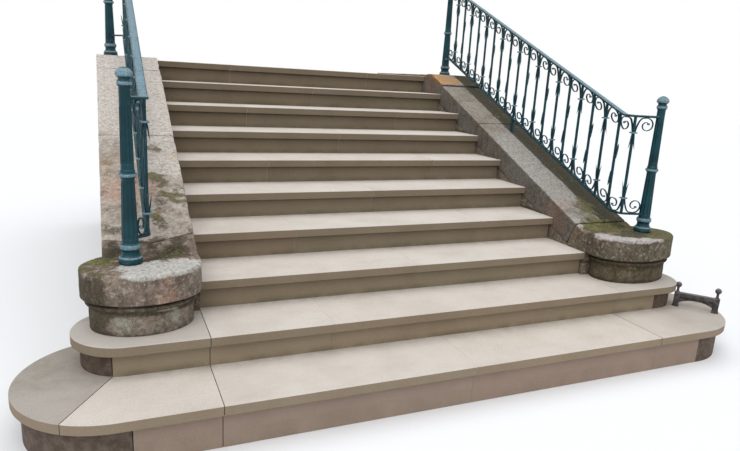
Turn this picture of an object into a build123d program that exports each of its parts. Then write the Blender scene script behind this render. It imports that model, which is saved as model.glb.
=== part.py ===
from build123d import *
import os
from math import atan2, cos, degrees, hypot, pi, radians, sin, sqrt

# Outdoor stone steps between two wing walls, with iron railings. All sizes are in millimetres.
# The front of the flight faces -Y, the steps climb towards +Y, and +Z is up.
# While the pieces are worked out, X = 0 is the middle of the flight and Y = 0 the front edge of
# the lowest tread. The finished pieces are moved so that the origin is the middle of the footprint.

# Flight of steps
step_count = 10
riser_height = 160
going = 358
bottom_rise = 222
flight_width = 2546
tread_thickness = 49
nosing_overhang = 38
nosing_chamfer = 3
riser_stone = 60
stone_joint = 4
bedding_gap = 0.3

# Round ends of the two lowest steps, beyond the wing walls
left_end_depth = 850
right_end_depth = 800
left_reach = (850, 612)
right_reach = (800, 630)
left_end_joint_front = (631, 63)
left_end_joint_back = (436, 404)
riser_end_joint_left = 367
second_riser_end_joint = 435

# Joints between the stones of a step, measured from the middle of the flight
middle_joint = 0
quarter_joint = 655

# Landing
landing_depth = 1200
landing_edge_width = 400
paving_rows = 2

# Wing walls and their copings
wall_width = 462
wall_front = 720
coping_start_height = 354
coping_rise = 0.43
coping_depth = 190
coping_landing_lift = 20
coping_joint_gap = 3
right_coping_joints = (839, 2174, 2855, 3790)
left_coping_joints = (900, 1901, 2855, 3790)

# Drum under each lower newel: a base on the second tread and a cap; pairs are left and right
drum_cap_reach = (282.5, 320)
drum_cap_front = 435
drum_cap_centre = 640
drum_cap_thickness = 150
cap_slope_start = 772
drum_base_middle = (285, 316)
drum_base_reach = (243, 284)
drum_base_front = 455
drum_neck_height = 34
drum_neck_overhang = 16
drum_neck_lip = 2
drum_groove_height = 8
drum_arris = 10

# Newel posts, measured outwards from the walls' inner faces; pairs are left and right
lower_newel_offset = (331, 432)
upper_newel_offset = 350
lower_newel_y = 660
upper_newel_y = 3440
newel_height = 918
newel_plinth_radius = 60
newel_ring_radius = 51
newel_neck_radius = 43
shaft_foot_radius = 39
shaft_ring_radius = 30
shaft_top_radius = 26
middle_ring_radius = 42
cap_radius = 43
flute_count = 10
flute_depth = 3.2
flute_share = 0.72
plinth_top = 42
neck_top = 66
ring_top = 96
flute_foot = 112
lower_flute_top = 404
middle_ring_foot = 424
middle_ring_top = 444
upper_flute_foot = 470
upper_plain_height = 88
collar_height = 18
throat_height = 10
cap_flare_height = 18
dome_height = 34
ring_edge = 4
plinth_edge = 7

# Railing
rail_offset = (246, 268)
rail_height = 776
rail_width = 46
rail_thickness = 16
rail_round = 5
lower_knee_y = 800
upper_knee_y = 3215
upper_bend_y = 3262
bottom_rail_height = 114
bottom_rail_width = 28
bottom_rail_thickness = 12
foot_size = 22
foot_count = 3
first_bar_y = 712
bar_spacing = 268
long_bar_count = 10
bar_size = 15
plate_height = 102
plate_size = 44
plate_thickness = 8
spike_length = 92
spike_width = 7
spike_spread = 12
dart_length = 100
dart_slant = 20
leaf_overlap = 2
dart_low = 0.38
dart_high = 0.52

# Scrolls of flat iron between the bars
scroll_strip = 6
scroll_depth = 15
scroll_start = 4
scroll_rail_gap = -1
scroll_curl_u = 80
scroll_curl_v = 52
scroll_curl_radius = 50
scroll_curl_end = 0.34
scroll_curl_from = -110
scroll_turn = 420
scroll_flare_power = 3
scroll_flare_steps = 4
scroll_curl_steps = 11
newel_scroll_stretch = (0.46, 1.05)

# Boot scraper on the right end of the lowest step
scraper_left = (560, 385)
scraper_right = (707, 206)
scraper_post = 20
scraper_height = 100
scraper_rail = 20
scraper_rail_thickness = 14
scraper_plate = 7
scraper_arch_rise = 58
scraper_arch_foot = 6
scraper_ball_radius = 18
scraper_neck_radius = 7
scraper_neck = 8
scraper_ball_sink = 2

half_width = flight_width / 2
flight_run = going * (step_count - 1)
house_wall = flight_run + landing_depth
landing_height = bottom_rise + riser_height * (step_count - 1)
wall_outer = half_width + wall_width
coping_top_flat = landing_height + coping_landing_lift
drum_cap_top = coping_start_height + coping_rise * cap_slope_start
slope_length = sqrt(1 + coping_rise ** 2)
cap_rim = newel_height - dome_height
cap_foot = cap_rim - cap_flare_height
collar_top = cap_foot - throat_height
collar_foot = collar_top - collar_height
upper_flute_top = collar_foot - upper_plain_height
sides = {"left": -1, "right": 1}
pair_place = {"left": 0, "right": 1}


def step_top(step):
    """Height of the walking surface of a step, counted from 1."""
    return bottom_rise + riser_height * (step - 1)


def step_front(step):
    """Front edge of a step's tread."""
    return going * (step - 1)


def block(x0, x1, y0, y1, z0, z1):
    """A box between two corners."""
    return Pos((x0 + x1) / 2, (y0 + y1) / 2, (z0 + z1) / 2) * Box(x1 - x0, y1 - y0, z1 - z0)


def end_radius(step, side):
    """Radius of the half circle that ends one of the two lowest steps."""
    depth = left_end_depth if side == "left" else right_end_depth
    return (depth - step_front(step)) / 2


def end_centre(step, side):
    """How far outside the wall's inner face the half circle has its centre."""
    reach = left_reach if side == "left" else right_reach
    return reach[step - 1] - end_radius(step, side)


def round_ended_plan(step, inset, back=wall_front):
    """Plan of one of the two lowest steps, which end in half circles beyond the walls."""
    front = step_front(step)
    left_radius = end_radius(step, "left")
    right_radius = end_radius(step, "right")
    left_x = -half_width - end_centre(step, "left")
    right_x = half_width + end_centre(step, "right")
    plan = Pos(left_x, front + left_radius) * Circle(left_radius - inset)
    plan += Pos(right_x, front + right_radius) * Circle(right_radius - inset)
    corners = [(left_x, front + inset), (right_x, front + inset)]
    corners += [(right_x, back), (left_x, back)]
    plan += make_face(Polyline(*corners, close=True))
    return plan


def wall_space(z0, z1):
    """The space that the two wing walls take between two heights."""
    left = block(-wall_outer, -half_width, wall_front, house_wall, z0, z1)
    right = block(half_width, wall_outer, wall_front, house_wall, z0, z1)
    return left + right


def flight_space(front, z0, z1):
    """The space between the wing walls behind a given front."""
    return block(-half_width, half_width, front, house_wall, z0, z1)


def joint_cut(x):
    """A thin upright slot across the flight, where two stones meet."""
    return block(x - stone_joint / 2, x + stone_joint / 2, -going, house_wall, 0, landing_height)


def joints_of(step):
    """Where the stones of a step meet: in the middle, or at two quarter points above it."""
    return [middle_joint] if step % 2 else [-quarter_joint, quarter_joint]


def nosed_slab(step):
    """A straight tread slab with its two front edges taken off."""
    top = step_top(step)
    front = step_front(step)
    back = front + going + nosing_overhang + riser_stone
    slab = block(-half_width, half_width, front, back, top - tread_thickness, top)
    front_edges = slab.edges().filter_by(Axis.X).sort_by(Axis.Y)[:2]
    return chamfer(front_edges, nosing_chamfer)


def end_joint_cut():
    """The slanting joint across the left round end of the lowest tread."""
    x0 = -half_width - left_end_joint_front[0]
    x1 = -half_width - left_end_joint_back[0]
    y0 = left_end_joint_front[1]
    y1 = left_end_joint_back[1]
    length = 2 * hypot(x1 - x0, y1 - y0)
    slot = Box(length, stone_joint, step_top(1) * 2)
    turn = degrees(atan2(y1 - y0, x1 - x0))
    place = Pos((x0 + x1) / 2, (y0 + y1) / 2, 0) * Rot(0, 0, turn)
    return place * slot


def round_ended_tread(step):
    """One of the two lowest treads, wrapped around the walls; it carries the riser behind it."""
    top = step_top(step)
    bottom = top - tread_thickness
    back = step_front(step + 1) + nosing_overhang + riser_stone
    plan = round_ended_plan(step, 0, max(wall_front, back))
    slab = Pos(0, 0, bottom) * extrude(plan, tread_thickness)
    rims = slab.faces().sort_by(Axis.Z)
    slab = chamfer(rims[-1].edges() + rims[0].edges(), nosing_chamfer)
    if step == 1:
        inner = round_ended_plan(2, nosing_overhang + riser_stone)
        slab -= Pos(0, 0, bottom) * extrude(inner, tread_thickness)
    slab -= flight_space(back, bottom, top)
    slab -= wall_space(bottom, top)
    for x in joints_of(step) + [-half_width, half_width]:
        slab -= joint_cut(x)
    if step == 1:
        slab -= end_joint_cut()
    return slab


def tread(step):
    """A tread as separate stones."""
    if step <= 2:
        return round_ended_tread(step)
    slab = nosed_slab(step)
    for x in joints_of(step):
        slab -= joint_cut(x)
    return slab


def round_ended_riser(step):
    """The upright stones under one of the two lowest treads, curved at both ends."""
    foot = 0 if step == 1 else step_top(step - 1)
    top = step_top(step) - tread_thickness
    ring = round_ended_plan(step, nosing_overhang)
    ring -= round_ended_plan(step, nosing_overhang + riser_stone)
    wall = Pos(0, 0, foot) * extrude(ring, top - foot)
    behind = step_front(step) + nosing_overhang + riser_stone
    wall -= block(-half_width - end_centre(step, "left"), half_width + end_centre(step, "right"),
                  behind, house_wall, foot, top)
    wall -= wall_space(foot, top)
    end_joint = riser_end_joint_left if step == 1 else second_riser_end_joint
    for x in [-half_width - end_joint, -half_width, half_width] + joints_of(step):
        wall -= joint_cut(x)
    return wall


def riser(step):
    """The upright stones under a tread."""
    if step <= 2:
        return round_ended_riser(step)
    front = step_front(step) + nosing_overhang
    top = step_top(step) - tread_thickness
    wall = block(-half_width, half_width, front, front + riser_stone, step_top(step - 1), top)
    for x in joints_of(step):
        wall -= joint_cut(x)
    return wall


def core_end(step, z0, z1):
    """The front of a course of masonry inside a round-ended step."""
    plan = round_ended_plan(step, nosing_overhang + riser_stone + bedding_gap)
    return Pos(0, 0, z0) * extrude(plan, z1 - z0) - wall_space(z0, z1)


def stair_core():
    """The masonry that carries treads, risers and landing, in one level course for each step."""
    courses = []
    foot = 0
    for step in range(1, step_count + 1):
        top = step_top(step) - tread_thickness
        if step <= 2:
            courses += core_end(step, foot, top).solids()
            front = wall_front + bedding_gap
        else:
            front = step_front(step) + nosing_overhang + riser_stone
        courses += flight_space(front, foot, top).solids()
        foot = top + bedding_gap
    return Compound(children=courses)


def landing_edge():
    """The nosing stones of the landing."""
    top = landing_height
    slab = block(-half_width, half_width, flight_run, flight_run + landing_edge_width,
                 top - tread_thickness, top)
    slab = chamfer(slab.edges().filter_by(Axis.X).sort_by(Axis.Y)[:2], nosing_chamfer)
    for x in joints_of(step_count):
        slab -= joint_cut(x)
    return slab


def landing_paving():
    """Rows of paving between the landing's nosing stones and the house wall."""
    first = flight_run + landing_edge_width + stone_joint
    depth = (house_wall - first + stone_joint) / paving_rows
    stones = []
    for row in range(paving_rows):
        y0 = first + row * depth
        slab = block(-half_width, half_width, y0, y0 + depth - stone_joint,
                     landing_height - tread_thickness, landing_height)
        for x in joints_of(row + 1):
            slab -= joint_cut(x)
        stones += slab.solids()
    return Compound(children=stones)


def coping_top(y):
    """Height of the coping's upper surface at a distance from the front."""
    slope = coping_start_height + coping_rise * y
    return min(max(slope, drum_cap_top), coping_top_flat)


def slope_y(height):
    """Where the coping's sloping surface reaches a height."""
    return (height - coping_start_height) / coping_rise


def side_profile(side, points, x0, x1):
    """A solid of a side outline in Y and Z, between two distances from the middle."""
    face = make_face(Polyline(*[(0, y, z) for y, z in points], close=True))
    sign = sides[side]
    solid = extrude(face, x1 - x0, dir=(sign, 0, 0))
    return Pos(sign * x0, 0, 0) * solid


def coping_underside():
    """Side outline points of the wall's top, under the copings, from front to back."""
    cap_bottom = drum_cap_top - drum_cap_thickness
    flat_bottom = coping_top_flat - coping_depth
    low = slope_y(cap_bottom + coping_depth)
    high = slope_y(coping_top_flat)
    return [(wall_front, cap_bottom), (low, cap_bottom), (high, flat_bottom), (house_wall, flat_bottom)]


def wing_wall(side):
    """The wall beside the flight, from the ground to the underside of its copings."""
    points = [(wall_front, 0)] + coping_underside() + [(house_wall, 0)]
    return side_profile(side, points, half_width, wall_outer)


def coping_band(side):
    """All the coping of one wall as a single long solid, sloping and then level."""
    under = coping_underside()
    over = [(house_wall, coping_top_flat), (slope_y(coping_top_flat), coping_top_flat)]
    over += [(slope_y(drum_cap_top), drum_cap_top), (wall_front, drum_cap_top)]
    return side_profile(side, under + over, half_width, wall_outer)


def square_cut(side, y):
    """A thin slot square to the coping's upper surface at a distance from the front."""
    level = y > slope_y(coping_top_flat)
    turn = 0 if level else degrees(atan2(coping_rise, 1))
    slot = Box(wall_width * 2, coping_joint_gap, coping_depth * 4)
    return Pos(sides[side] * (half_width + wall_width / 2), y, coping_top(y)) * Rot(turn, 0, 0) * slot


def coping_pieces(side):
    """The coping of one wall cut into its stones, in order from the front."""
    joints = left_coping_joints if side == "left" else right_coping_joints
    band = coping_band(side)
    for y in joints:
        band -= square_cut(side, y)
    return sorted(band.solids(), key=lambda stone: stone.center().Y)


def oval(reach, front, centre, height):
    """An upright solid of half-oval ends around a centre, standing at height 0."""
    return extrude(Ellipse(reach, centre - front), height)


def outside(side, distance):
    """X of something that stands a distance outside a wall's inner face."""
    return sides[side] * (half_width + distance)


def rail_x(side):
    """X of the railing's plane."""
    return outside(side, rail_offset[pair_place[side]])


def newel_x(side, place):
    """X of the lower or the upper newel."""
    offset = lower_newel_offset[pair_place[side]] if place == "lower" else upper_newel_offset
    return outside(side, offset)


def cap_stone(side, first_stone):
    """The drum's oval cap, cut from one stone with the start of the sloping coping."""
    reach = drum_cap_reach[pair_place[side]]
    disc = oval(reach, drum_cap_front, drum_cap_centre, drum_cap_thickness)
    rims = disc.edges().filter_by(GeomType.ELLIPSE)
    disc = chamfer(rims, drum_arris)
    disc = Pos(outside(side, reach), drum_cap_centre, drum_cap_top - drum_cap_thickness) * disc
    return disc + first_stone


def drum_base(side):
    """The oval base under the cap, with a neck moulding and a groove at its top."""
    foot = step_top(2)
    full = drum_cap_top - drum_cap_thickness - foot
    body_height = full - drum_neck_height - drum_groove_height
    reach = drum_base_reach[pair_place[side]]
    body = oval(reach, drum_base_front, drum_cap_centre, body_height)
    neck_front = drum_base_front - drum_neck_overhang / 2
    neck = oval(reach + drum_neck_overhang, neck_front, drum_cap_centre, drum_neck_height)
    neck_foot = neck.edges().filter_by(GeomType.ELLIPSE).sort_by(Axis.Z)[:1]
    neck = chamfer(neck_foot, drum_neck_overhang - drum_neck_lip)
    groove = oval(reach, drum_base_front, drum_cap_centre, drum_groove_height)
    base = body + Pos(0, 0, body_height) * neck + Pos(0, 0, body_height + drum_neck_height) * groove
    base = Pos(outside(side, drum_base_middle[pair_place[side]]), drum_cap_centre, foot) * base
    beside = sorted((outside(side, 0), outside(side, -reach)))
    flight = block(*beside, 0, house_wall, foot, foot + full)
    return base - wall_space(foot, foot + full) - flight


def flute_outline(radius, z):
    """A circle with shallow hollows round it: each hollow takes its share of a turn."""
    pitch = 2 * pi / flute_count
    arcs = []
    for k in range(flute_count):
        start = k * pitch
        end = start + pitch * flute_share
        middle = (start + end) / 2
        hollow = radius - flute_depth
        arcs.append(ThreePointArc((radius * cos(start), radius * sin(start), z),
                                  (hollow * cos(middle), hollow * sin(middle), z),
                                  (radius * cos(end), radius * sin(end), z)))
        arcs.append(Line((radius * cos(end), radius * sin(end), z),
                         (radius * cos(start + pitch), radius * sin(start + pitch), z)))
    return make_face(Wire(arcs))


def fluted_shaft(foot_radius, top_radius, z0, z1):
    """A tapering shaft with flutes along it."""
    return loft([flute_outline(foot_radius, z0), flute_outline(top_radius, z1)], ruled=True)


def newel_turning():
    """The plain turned parts of a newel: plinth, rings, collar and domed cap, with a thin shaft."""
    inner = shaft_top_radius - 2 * flute_depth
    collar_radius = cap_radius - ring_edge
    throat = shaft_top_radius + ring_edge
    line = [(0, 0), (newel_plinth_radius, 0), (newel_plinth_radius, plinth_top / 2)]
    line += [(newel_plinth_radius - plinth_edge, plinth_top), (newel_neck_radius, plinth_top + ring_edge)]
    line += [(newel_neck_radius, neck_top), (newel_ring_radius, neck_top + plinth_edge)]
    line += [(newel_ring_radius, ring_top - plinth_edge), (shaft_foot_radius, ring_top)]
    line += [(shaft_foot_radius, flute_foot), (inner, flute_foot), (inner, lower_flute_top)]
    line += [(shaft_ring_radius, lower_flute_top), (shaft_ring_radius, middle_ring_foot)]
    line += [(middle_ring_radius, middle_ring_foot + ring_edge)]
    line += [(middle_ring_radius, middle_ring_top - ring_edge)]
    line += [(shaft_ring_radius, middle_ring_top), (shaft_ring_radius, upper_flute_foot)]
    line += [(inner, upper_flute_foot), (inner, upper_flute_top), (shaft_top_radius, upper_flute_top)]
    line += [(shaft_top_radius, collar_foot), (collar_radius, collar_foot + ring_edge)]
    line += [(collar_radius, collar_top - ring_edge), (throat, collar_top)]
    line += [(throat, cap_foot), (cap_radius, cap_rim)]
    profile = Polyline(*[(radius, 0, z) for radius, z in line])
    ball_radius = (cap_radius ** 2 + dome_height ** 2) / (2 * dome_height)
    shoulder = cap_radius / 2
    shoulder_z = newel_height - ball_radius + sqrt(ball_radius ** 2 - shoulder ** 2)
    dome = ThreePointArc((cap_radius, 0, cap_rim), (shoulder, 0, shoulder_z), (0, 0, newel_height))
    axis = Line((0, 0, newel_height), (0, 0, 0))
    return revolve(make_face(Wire([*profile.edges(), dome.edge(), axis.edge()])), Axis.Z)


def newel():
    """A newel post standing at the origin."""
    post = newel_turning()
    post += fluted_shaft(shaft_foot_radius, shaft_ring_radius, flute_foot, lower_flute_top)
    post += fluted_shaft(shaft_ring_radius, shaft_top_radius, upper_flute_foot, upper_flute_top)
    return post


def rail_line(height):
    """Height of a rail above the ground, as a function of Y, that follows the coping."""
    low = coping_top(lower_knee_y) + height

    def at(y):
        climb = coping_rise * (min(max(y, lower_knee_y), upper_knee_y) - lower_knee_y)
        return low + climb

    return at


def rail_path(side, height):
    """Centre line of a rail from newel to newel: a jog to the railing's plane, level, slope, level."""
    at = rail_line(height)
    x = rail_x(side)
    plan = [(newel_x(side, "lower"), lower_newel_y), (x, first_bar_y), (x, lower_knee_y)]
    plan += [(x, upper_knee_y), (x, upper_bend_y), (newel_x(side, "upper"), upper_newel_y)]
    return [(px, py, at(py)) for px, py in plan]


def bend_filler(before, bend, after, width, thickness):
    """A round piece at a bend: upright where the bar turns in plan, level where its slope changes."""
    if before[0] == after[0]:
        return Pos(*bend) * Rot(0, 90, 0) * Cylinder(thickness / 2, width)
    return Pos(*bend) * Cylinder(width / 2, thickness)


def bar_along(path, width, thickness, rounding):
    """A flat bar carried along straight runs, its width level and its ends square."""
    solids = []
    for start, end in zip(path[:-1], path[1:]):
        a = Vector(*start)
        b = Vector(*end)
        plane = Plane(origin=a, x_dir=Vector(b.Y - a.Y, a.X - b.X, 0), z_dir=b - a)
        section = RectangleRounded(width, thickness, rounding) if rounding else Rectangle(width, thickness)
        solids.append(extrude(plane * section, (b - a).length))
    bends = zip(path[:-2], path[1:-1], path[2:])
    solids += [bend_filler(*bend, width - 2 * rounding, thickness) for bend in bends]
    return Part() + solids


def newel_holes(side, radius):
    """Upright rods where the two newels of a side stand, to cut a rail's ends."""
    rod = Cylinder(radius + bedding_gap, landing_height * 4)
    lower = Pos(newel_x(side, "lower"), lower_newel_y, 0) * rod
    upper = Pos(newel_x(side, "upper"), upper_newel_y, 0) * rod
    return [lower, upper]


def handrail(side):
    """The flat handrail from newel to newel."""
    path = rail_path(side, rail_height - rail_thickness / 2)
    rail = bar_along(path, rail_width, rail_thickness, rail_round)
    return rail - newel_holes(side, shaft_top_radius)


def scroll_centre_line(stretch):
    """Points of a scroll: it flares from a bar down to the rail, then curls up and inwards.

    The first point is at the bar, a plate's height up. The curl's radius shrinks evenly with the
    angle. Distances along the rail are multiplied by stretch.
    """
    low_u = scroll_curl_u + scroll_curl_radius * cos(radians(scroll_curl_from))
    low_v = scroll_curl_v + scroll_curl_radius * sin(radians(scroll_curl_from))
    points = []
    for k in range(scroll_flare_steps):
        s = k / scroll_flare_steps
        fall = (1 - s) ** scroll_flare_power
        points.append((scroll_start + (low_u - scroll_start) * s, low_v + (plate_height - low_v) * fall))
    for k in range(scroll_curl_steps + 1):
        s = k / scroll_curl_steps
        angle = radians(scroll_curl_from + scroll_turn * s)
        radius = scroll_curl_radius * (1 - (1 - scroll_curl_end) * s)
        points.append((scroll_curl_u + radius * cos(angle), scroll_curl_v + radius * sin(angle)))
    return [(u * stretch, v) for u, v in points]


def strip_outline(points, width):
    """Outline of a strip of even width along a line of points."""
    left = []
    right = []
    last = len(points) - 1
    for k, (u, v) in enumerate(points):
        before = points[max(k - 1, 0)]
        after = points[min(k + 1, last)]
        du = after[0] - before[0]
        dv = after[1] - before[1]
        length = hypot(du, dv)
        left.append((u - dv / length * width / 2, v + du / length * width / 2))
        right.append((u + dv / length * width / 2, v - du / length * width / 2))
    return left + right[::-1]


def strip_face(points, width):
    """A flat face of a strip in the railing's plane, given in Y and Z."""
    outline = strip_outline(points, width)
    return make_face(Polyline(*outline, close=True))


def bar_face(y, foot, head):
    """An upright bar whose ends follow the two rails."""
    near = y - bar_size / 2
    far = y + bar_size / 2
    corners = [(near, foot(near)), (far, foot(far)), (far, head(far)), (near, head(near))]
    return make_face(Polyline(*corners, close=True))


def scroll_faces(y, foot, head):
    """The scrolls at a long bar, under the handrail and on the bottom rail, both ways or only uphill."""
    faces = []
    line = scroll_centre_line(1)
    for direction in (1,) if y == first_bar_y else (-1, 1):
        low = [(y + direction * u, foot(y + direction * u) + v + scroll_rail_gap) for u, v in line]
        high = [(y + direction * u, head(y + direction * u) - v - scroll_rail_gap) for u, v in line]
        faces += [strip_face(low, scroll_strip), strip_face(high, scroll_strip)]
    return faces


def newel_scrolls(side, foot, head):
    """The two scrolls between the lowest long bar and the lower newel, along the rails' bend."""
    line = scroll_centre_line(newel_scroll_stretch[pair_place[side]])
    low = [(u, foot(first_bar_y) + v + scroll_rail_gap) for u, v in line]
    high = [(u, head(first_bar_y) - v - scroll_rail_gap) for u, v in line]
    across = newel_x(side, "lower") - rail_x(side)
    back = lower_newel_y - first_bar_y
    plane = Plane(origin=(rail_x(side), first_bar_y, 0), x_dir=(across, back, 0), z_dir=(back, -across, 0))
    flat = Sketch() + [strip_face(low, scroll_strip), strip_face(high, scroll_strip)]
    return extrude(plane * flat, scroll_depth / 2, both=True)


def spike_faces(y, foot, head):
    """Pointed leaves above the lower plate and below the upper plate of a long bar."""
    faces = []
    for direction in (-1, 1):
        low = foot(y) + plate_height
        high = head(y) - plate_height
        root = bar_size / 2
        tip = root + spike_spread
        for base, reach in ((low, spike_length), (high, -spike_length)):
            corners = [(y + direction * (root - leaf_overlap), base)]
            corners += [(y + direction * (root + spike_width), base), (y + direction * tip, base + reach)]
            faces.append(make_face(Polyline(*corners, close=True)))
    return faces


def dart_faces(y, foot, head):
    """Two pointed leaves on a short bar, one on each side and at different heights."""
    length = head(y) - foot(y)
    faces = []
    for direction, share, way in ((1, dart_low, -1), (-1, dart_high, 1)):
        base = foot(y) + length * share
        inner = y + direction * (bar_size / 2 - leaf_overlap)
        outer = y + direction * (bar_size / 2 + spike_width)
        corners = [(inner, base), (outer, base + way * dart_slant)]
        corners += [(outer, base + way * dart_length), (inner, base + way * (dart_length - dart_slant))]
        faces.append(make_face(Polyline(*corners, close=True)))
    return faces


def bar_positions():
    """Y of the long bars and of the short bars between them."""
    long_bars = [first_bar_y + k * bar_spacing for k in range(long_bar_count)]
    short_bars = [y + bar_spacing / 2 for y in long_bars[:-1]]
    return long_bars, short_bars


def balustrade(side):
    """Bottom rail, bars, plates, leaves and scrolls of one side as one iron panel."""
    x = rail_x(side)
    foot = rail_line(bottom_rail_height - bottom_rail_thickness / 2)
    head = rail_line(rail_height - rail_thickness / 2 - rail_thickness / 2 * slope_length - bedding_gap)
    long_bars, short_bars = bar_positions()
    faces = []
    for y in long_bars + short_bars:
        faces.append(bar_face(y, foot, head))
    for y in long_bars:
        faces += scroll_faces(y, foot, head) + spike_faces(y, foot, head)
    for y in short_bars:
        faces += dart_faces(y, foot, head)
    flat = Sketch() + faces
    plane = Plane(origin=(x, 0, 0), x_dir=(0, 1, 0), z_dir=(1, 0, 0))
    panel = extrude(plane * flat, scroll_depth / 2, both=True)
    plates = []
    for y in long_bars:
        for z in (foot(y) + plate_height, head(y) - plate_height):
            plates.append(Pos(x, y, z) * Box(plate_size, plate_size, plate_thickness))
    bottom = bar_along(rail_path(side, bottom_rail_height - bottom_rail_thickness / 2),
                       bottom_rail_width, bottom_rail_thickness, 0)
    bottom -= newel_holes(side, shaft_foot_radius)
    feet = []
    for y in long_bars[1::long_bar_count // foot_count]:
        near = y - foot_size / 2
        far = y + foot_size / 2
        outline = [(near, coping_top(near)), (far, coping_top(far)), (far, foot(far)), (near, foot(near))]
        feet.append(side_profile(side, outline, abs(x) - foot_size / 2, abs(x) + foot_size / 2))
    return panel + [newel_scrolls(side, foot, head), *plates, bottom, *feet]


def boot_scraper():
    """A small cast frame on two posts with balls, its plate cut to a low arch."""
    x0 = half_width + scraper_left[0]
    x1 = half_width + scraper_right[0]
    y0 = scraper_left[1]
    y1 = scraper_right[1]
    length = hypot(x1 - x0, y1 - y0)
    post = block(-scraper_post / 2, scraper_post / 2, -scraper_post / 2, scraper_post / 2, 0, scraper_height)
    neck = Pos(0, 0, scraper_height + scraper_neck / 2) * Cylinder(scraper_neck_radius, scraper_neck)
    ball_centre = scraper_height + scraper_neck + scraper_ball_radius - scraper_ball_sink
    ball = Pos(0, 0, ball_centre) * Sphere(scraper_ball_radius)
    finial_post = post + neck + ball
    rail = block(0, length, -scraper_rail_thickness / 2, scraper_rail_thickness / 2,
                 scraper_height - scraper_rail, scraper_height)
    plate_top = scraper_height - scraper_rail / 2
    plate = block(0, length, -scraper_plate / 2, scraper_plate / 2, scraper_arch_foot, plate_top)
    half_span = length / 2 - scraper_post / 2
    arch_radius = (half_span ** 2 + scraper_arch_rise ** 2) / (2 * scraper_arch_rise)
    hollow = Rot(90, 0, 0) * Cylinder(arch_radius, scraper_post)
    plate -= Pos(length / 2, 0, scraper_arch_foot + scraper_arch_rise - arch_radius) * hollow
    frame = finial_post + Pos(length, 0, 0) * finial_post + rail + plate
    turn = degrees(atan2(y1 - y0, x1 - x0))
    return Pos(x0, y0, step_top(1)) * Rot(0, 0, turn) * frame


def all_nodes():
    """Every piece of the stairs under its name."""
    nodes = {"stair_core": stair_core()}
    for step in range(1, step_count):
        nodes[f"tread_{step}"] = tread(step)
    for step in range(1, step_count + 1):
        nodes[f"riser_{step}"] = riser(step)
    nodes["landing_edge"] = landing_edge()
    nodes["landing_paving"] = landing_paving()
    post = newel()
    for side in sides:
        stones = coping_pieces(side)
        nodes[f"wing_wall_{side}"] = wing_wall(side)
        nodes[f"drum_base_{side}"] = drum_base(side)
        nodes[f"cap_stone_{side}"] = cap_stone(side, stones[0])
        for name, stone in zip(("lower", "middle", "upper", "landing"), stones[1:]):
            nodes[f"coping_{name}_{side}"] = stone
        nodes[f"newel_lower_{side}"] = Pos(newel_x(side, "lower"), lower_newel_y, drum_cap_top) * post
        nodes[f"newel_upper_{side}"] = Pos(newel_x(side, "upper"), upper_newel_y, coping_top_flat) * post
        nodes[f"handrail_{side}"] = handrail(side)
        nodes[f"balustrade_{side}"] = balustrade(side)
    nodes["boot_scraper"] = boot_scraper()
    return nodes


def write_parts():
    """Move every piece so that the origin is the middle of the footprint, and write it."""
    os.makedirs("parts", exist_ok=True)
    middle_x = (right_reach[0] - left_reach[0]) / 2
    middle_y = house_wall / 2
    for name, solid in all_nodes().items():
        export_step(Pos(-middle_x, -middle_y, 0) * solid, f"parts/{name}.step")


write_parts()
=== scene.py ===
import math

import bpy
import numpy as np
from mathutils import Matrix, Vector

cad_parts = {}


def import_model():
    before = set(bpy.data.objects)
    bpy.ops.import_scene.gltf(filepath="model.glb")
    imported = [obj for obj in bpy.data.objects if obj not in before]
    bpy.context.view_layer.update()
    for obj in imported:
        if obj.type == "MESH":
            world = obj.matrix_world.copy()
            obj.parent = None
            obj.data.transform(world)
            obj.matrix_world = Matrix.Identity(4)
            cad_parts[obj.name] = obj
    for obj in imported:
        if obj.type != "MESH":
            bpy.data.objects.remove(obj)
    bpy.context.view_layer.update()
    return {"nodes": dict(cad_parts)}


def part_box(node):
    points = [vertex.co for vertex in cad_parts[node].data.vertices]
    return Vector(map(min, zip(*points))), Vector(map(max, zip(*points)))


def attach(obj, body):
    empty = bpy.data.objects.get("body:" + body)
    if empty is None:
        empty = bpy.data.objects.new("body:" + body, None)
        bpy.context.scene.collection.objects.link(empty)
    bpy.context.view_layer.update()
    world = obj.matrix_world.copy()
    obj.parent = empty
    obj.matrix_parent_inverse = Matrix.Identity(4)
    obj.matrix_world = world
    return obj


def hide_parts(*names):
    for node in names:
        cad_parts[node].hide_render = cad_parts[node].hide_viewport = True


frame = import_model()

# Sizes of the frame, in metres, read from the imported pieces
SIDES = {"left": -1, "right": 1}
front_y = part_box("tread_1")[0].y
house_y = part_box("wing_wall_left")[1].y
inner_x = {"left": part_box("wing_wall_left")[1].x, "right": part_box("wing_wall_right")[0].x}
outer_x = {"left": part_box("wing_wall_left")[0].x, "right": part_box("wing_wall_right")[1].x}
middle_x = (inner_x["left"] + inner_x["right"]) / 2
half_width = (inner_x["right"] - inner_x["left"]) / 2
wall_width = outer_x["right"] - inner_x["right"]
flat_top_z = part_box("coping_landing_left")[1].z
first_tread_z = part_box("tread_1")[1].z
second_tread_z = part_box("tread_2")[1].z
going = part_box("tread_4")[0].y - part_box("tread_3")[0].y
riser_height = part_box("tread_4")[1].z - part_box("tread_3")[1].z

# Steps: odd ones have one joint in the middle, even ones have two, quarter_joint to each side of it
step_count = 10
quarter_joint = 0.655
stone_gap = 0.004
nosing = 0.038
tread_thickness = 0.049

# Lowest tread's left end: a joint's slant for each length back, and how far past the flight it starts
slant_joint_run = 0.572
slant_joint_start = 0.667

# Two lowest risers: how far past the flight's ends their older end stones start
first_old_start = 0.367
second_old_start = {"left": 0.435, "right": 0.343}

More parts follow.
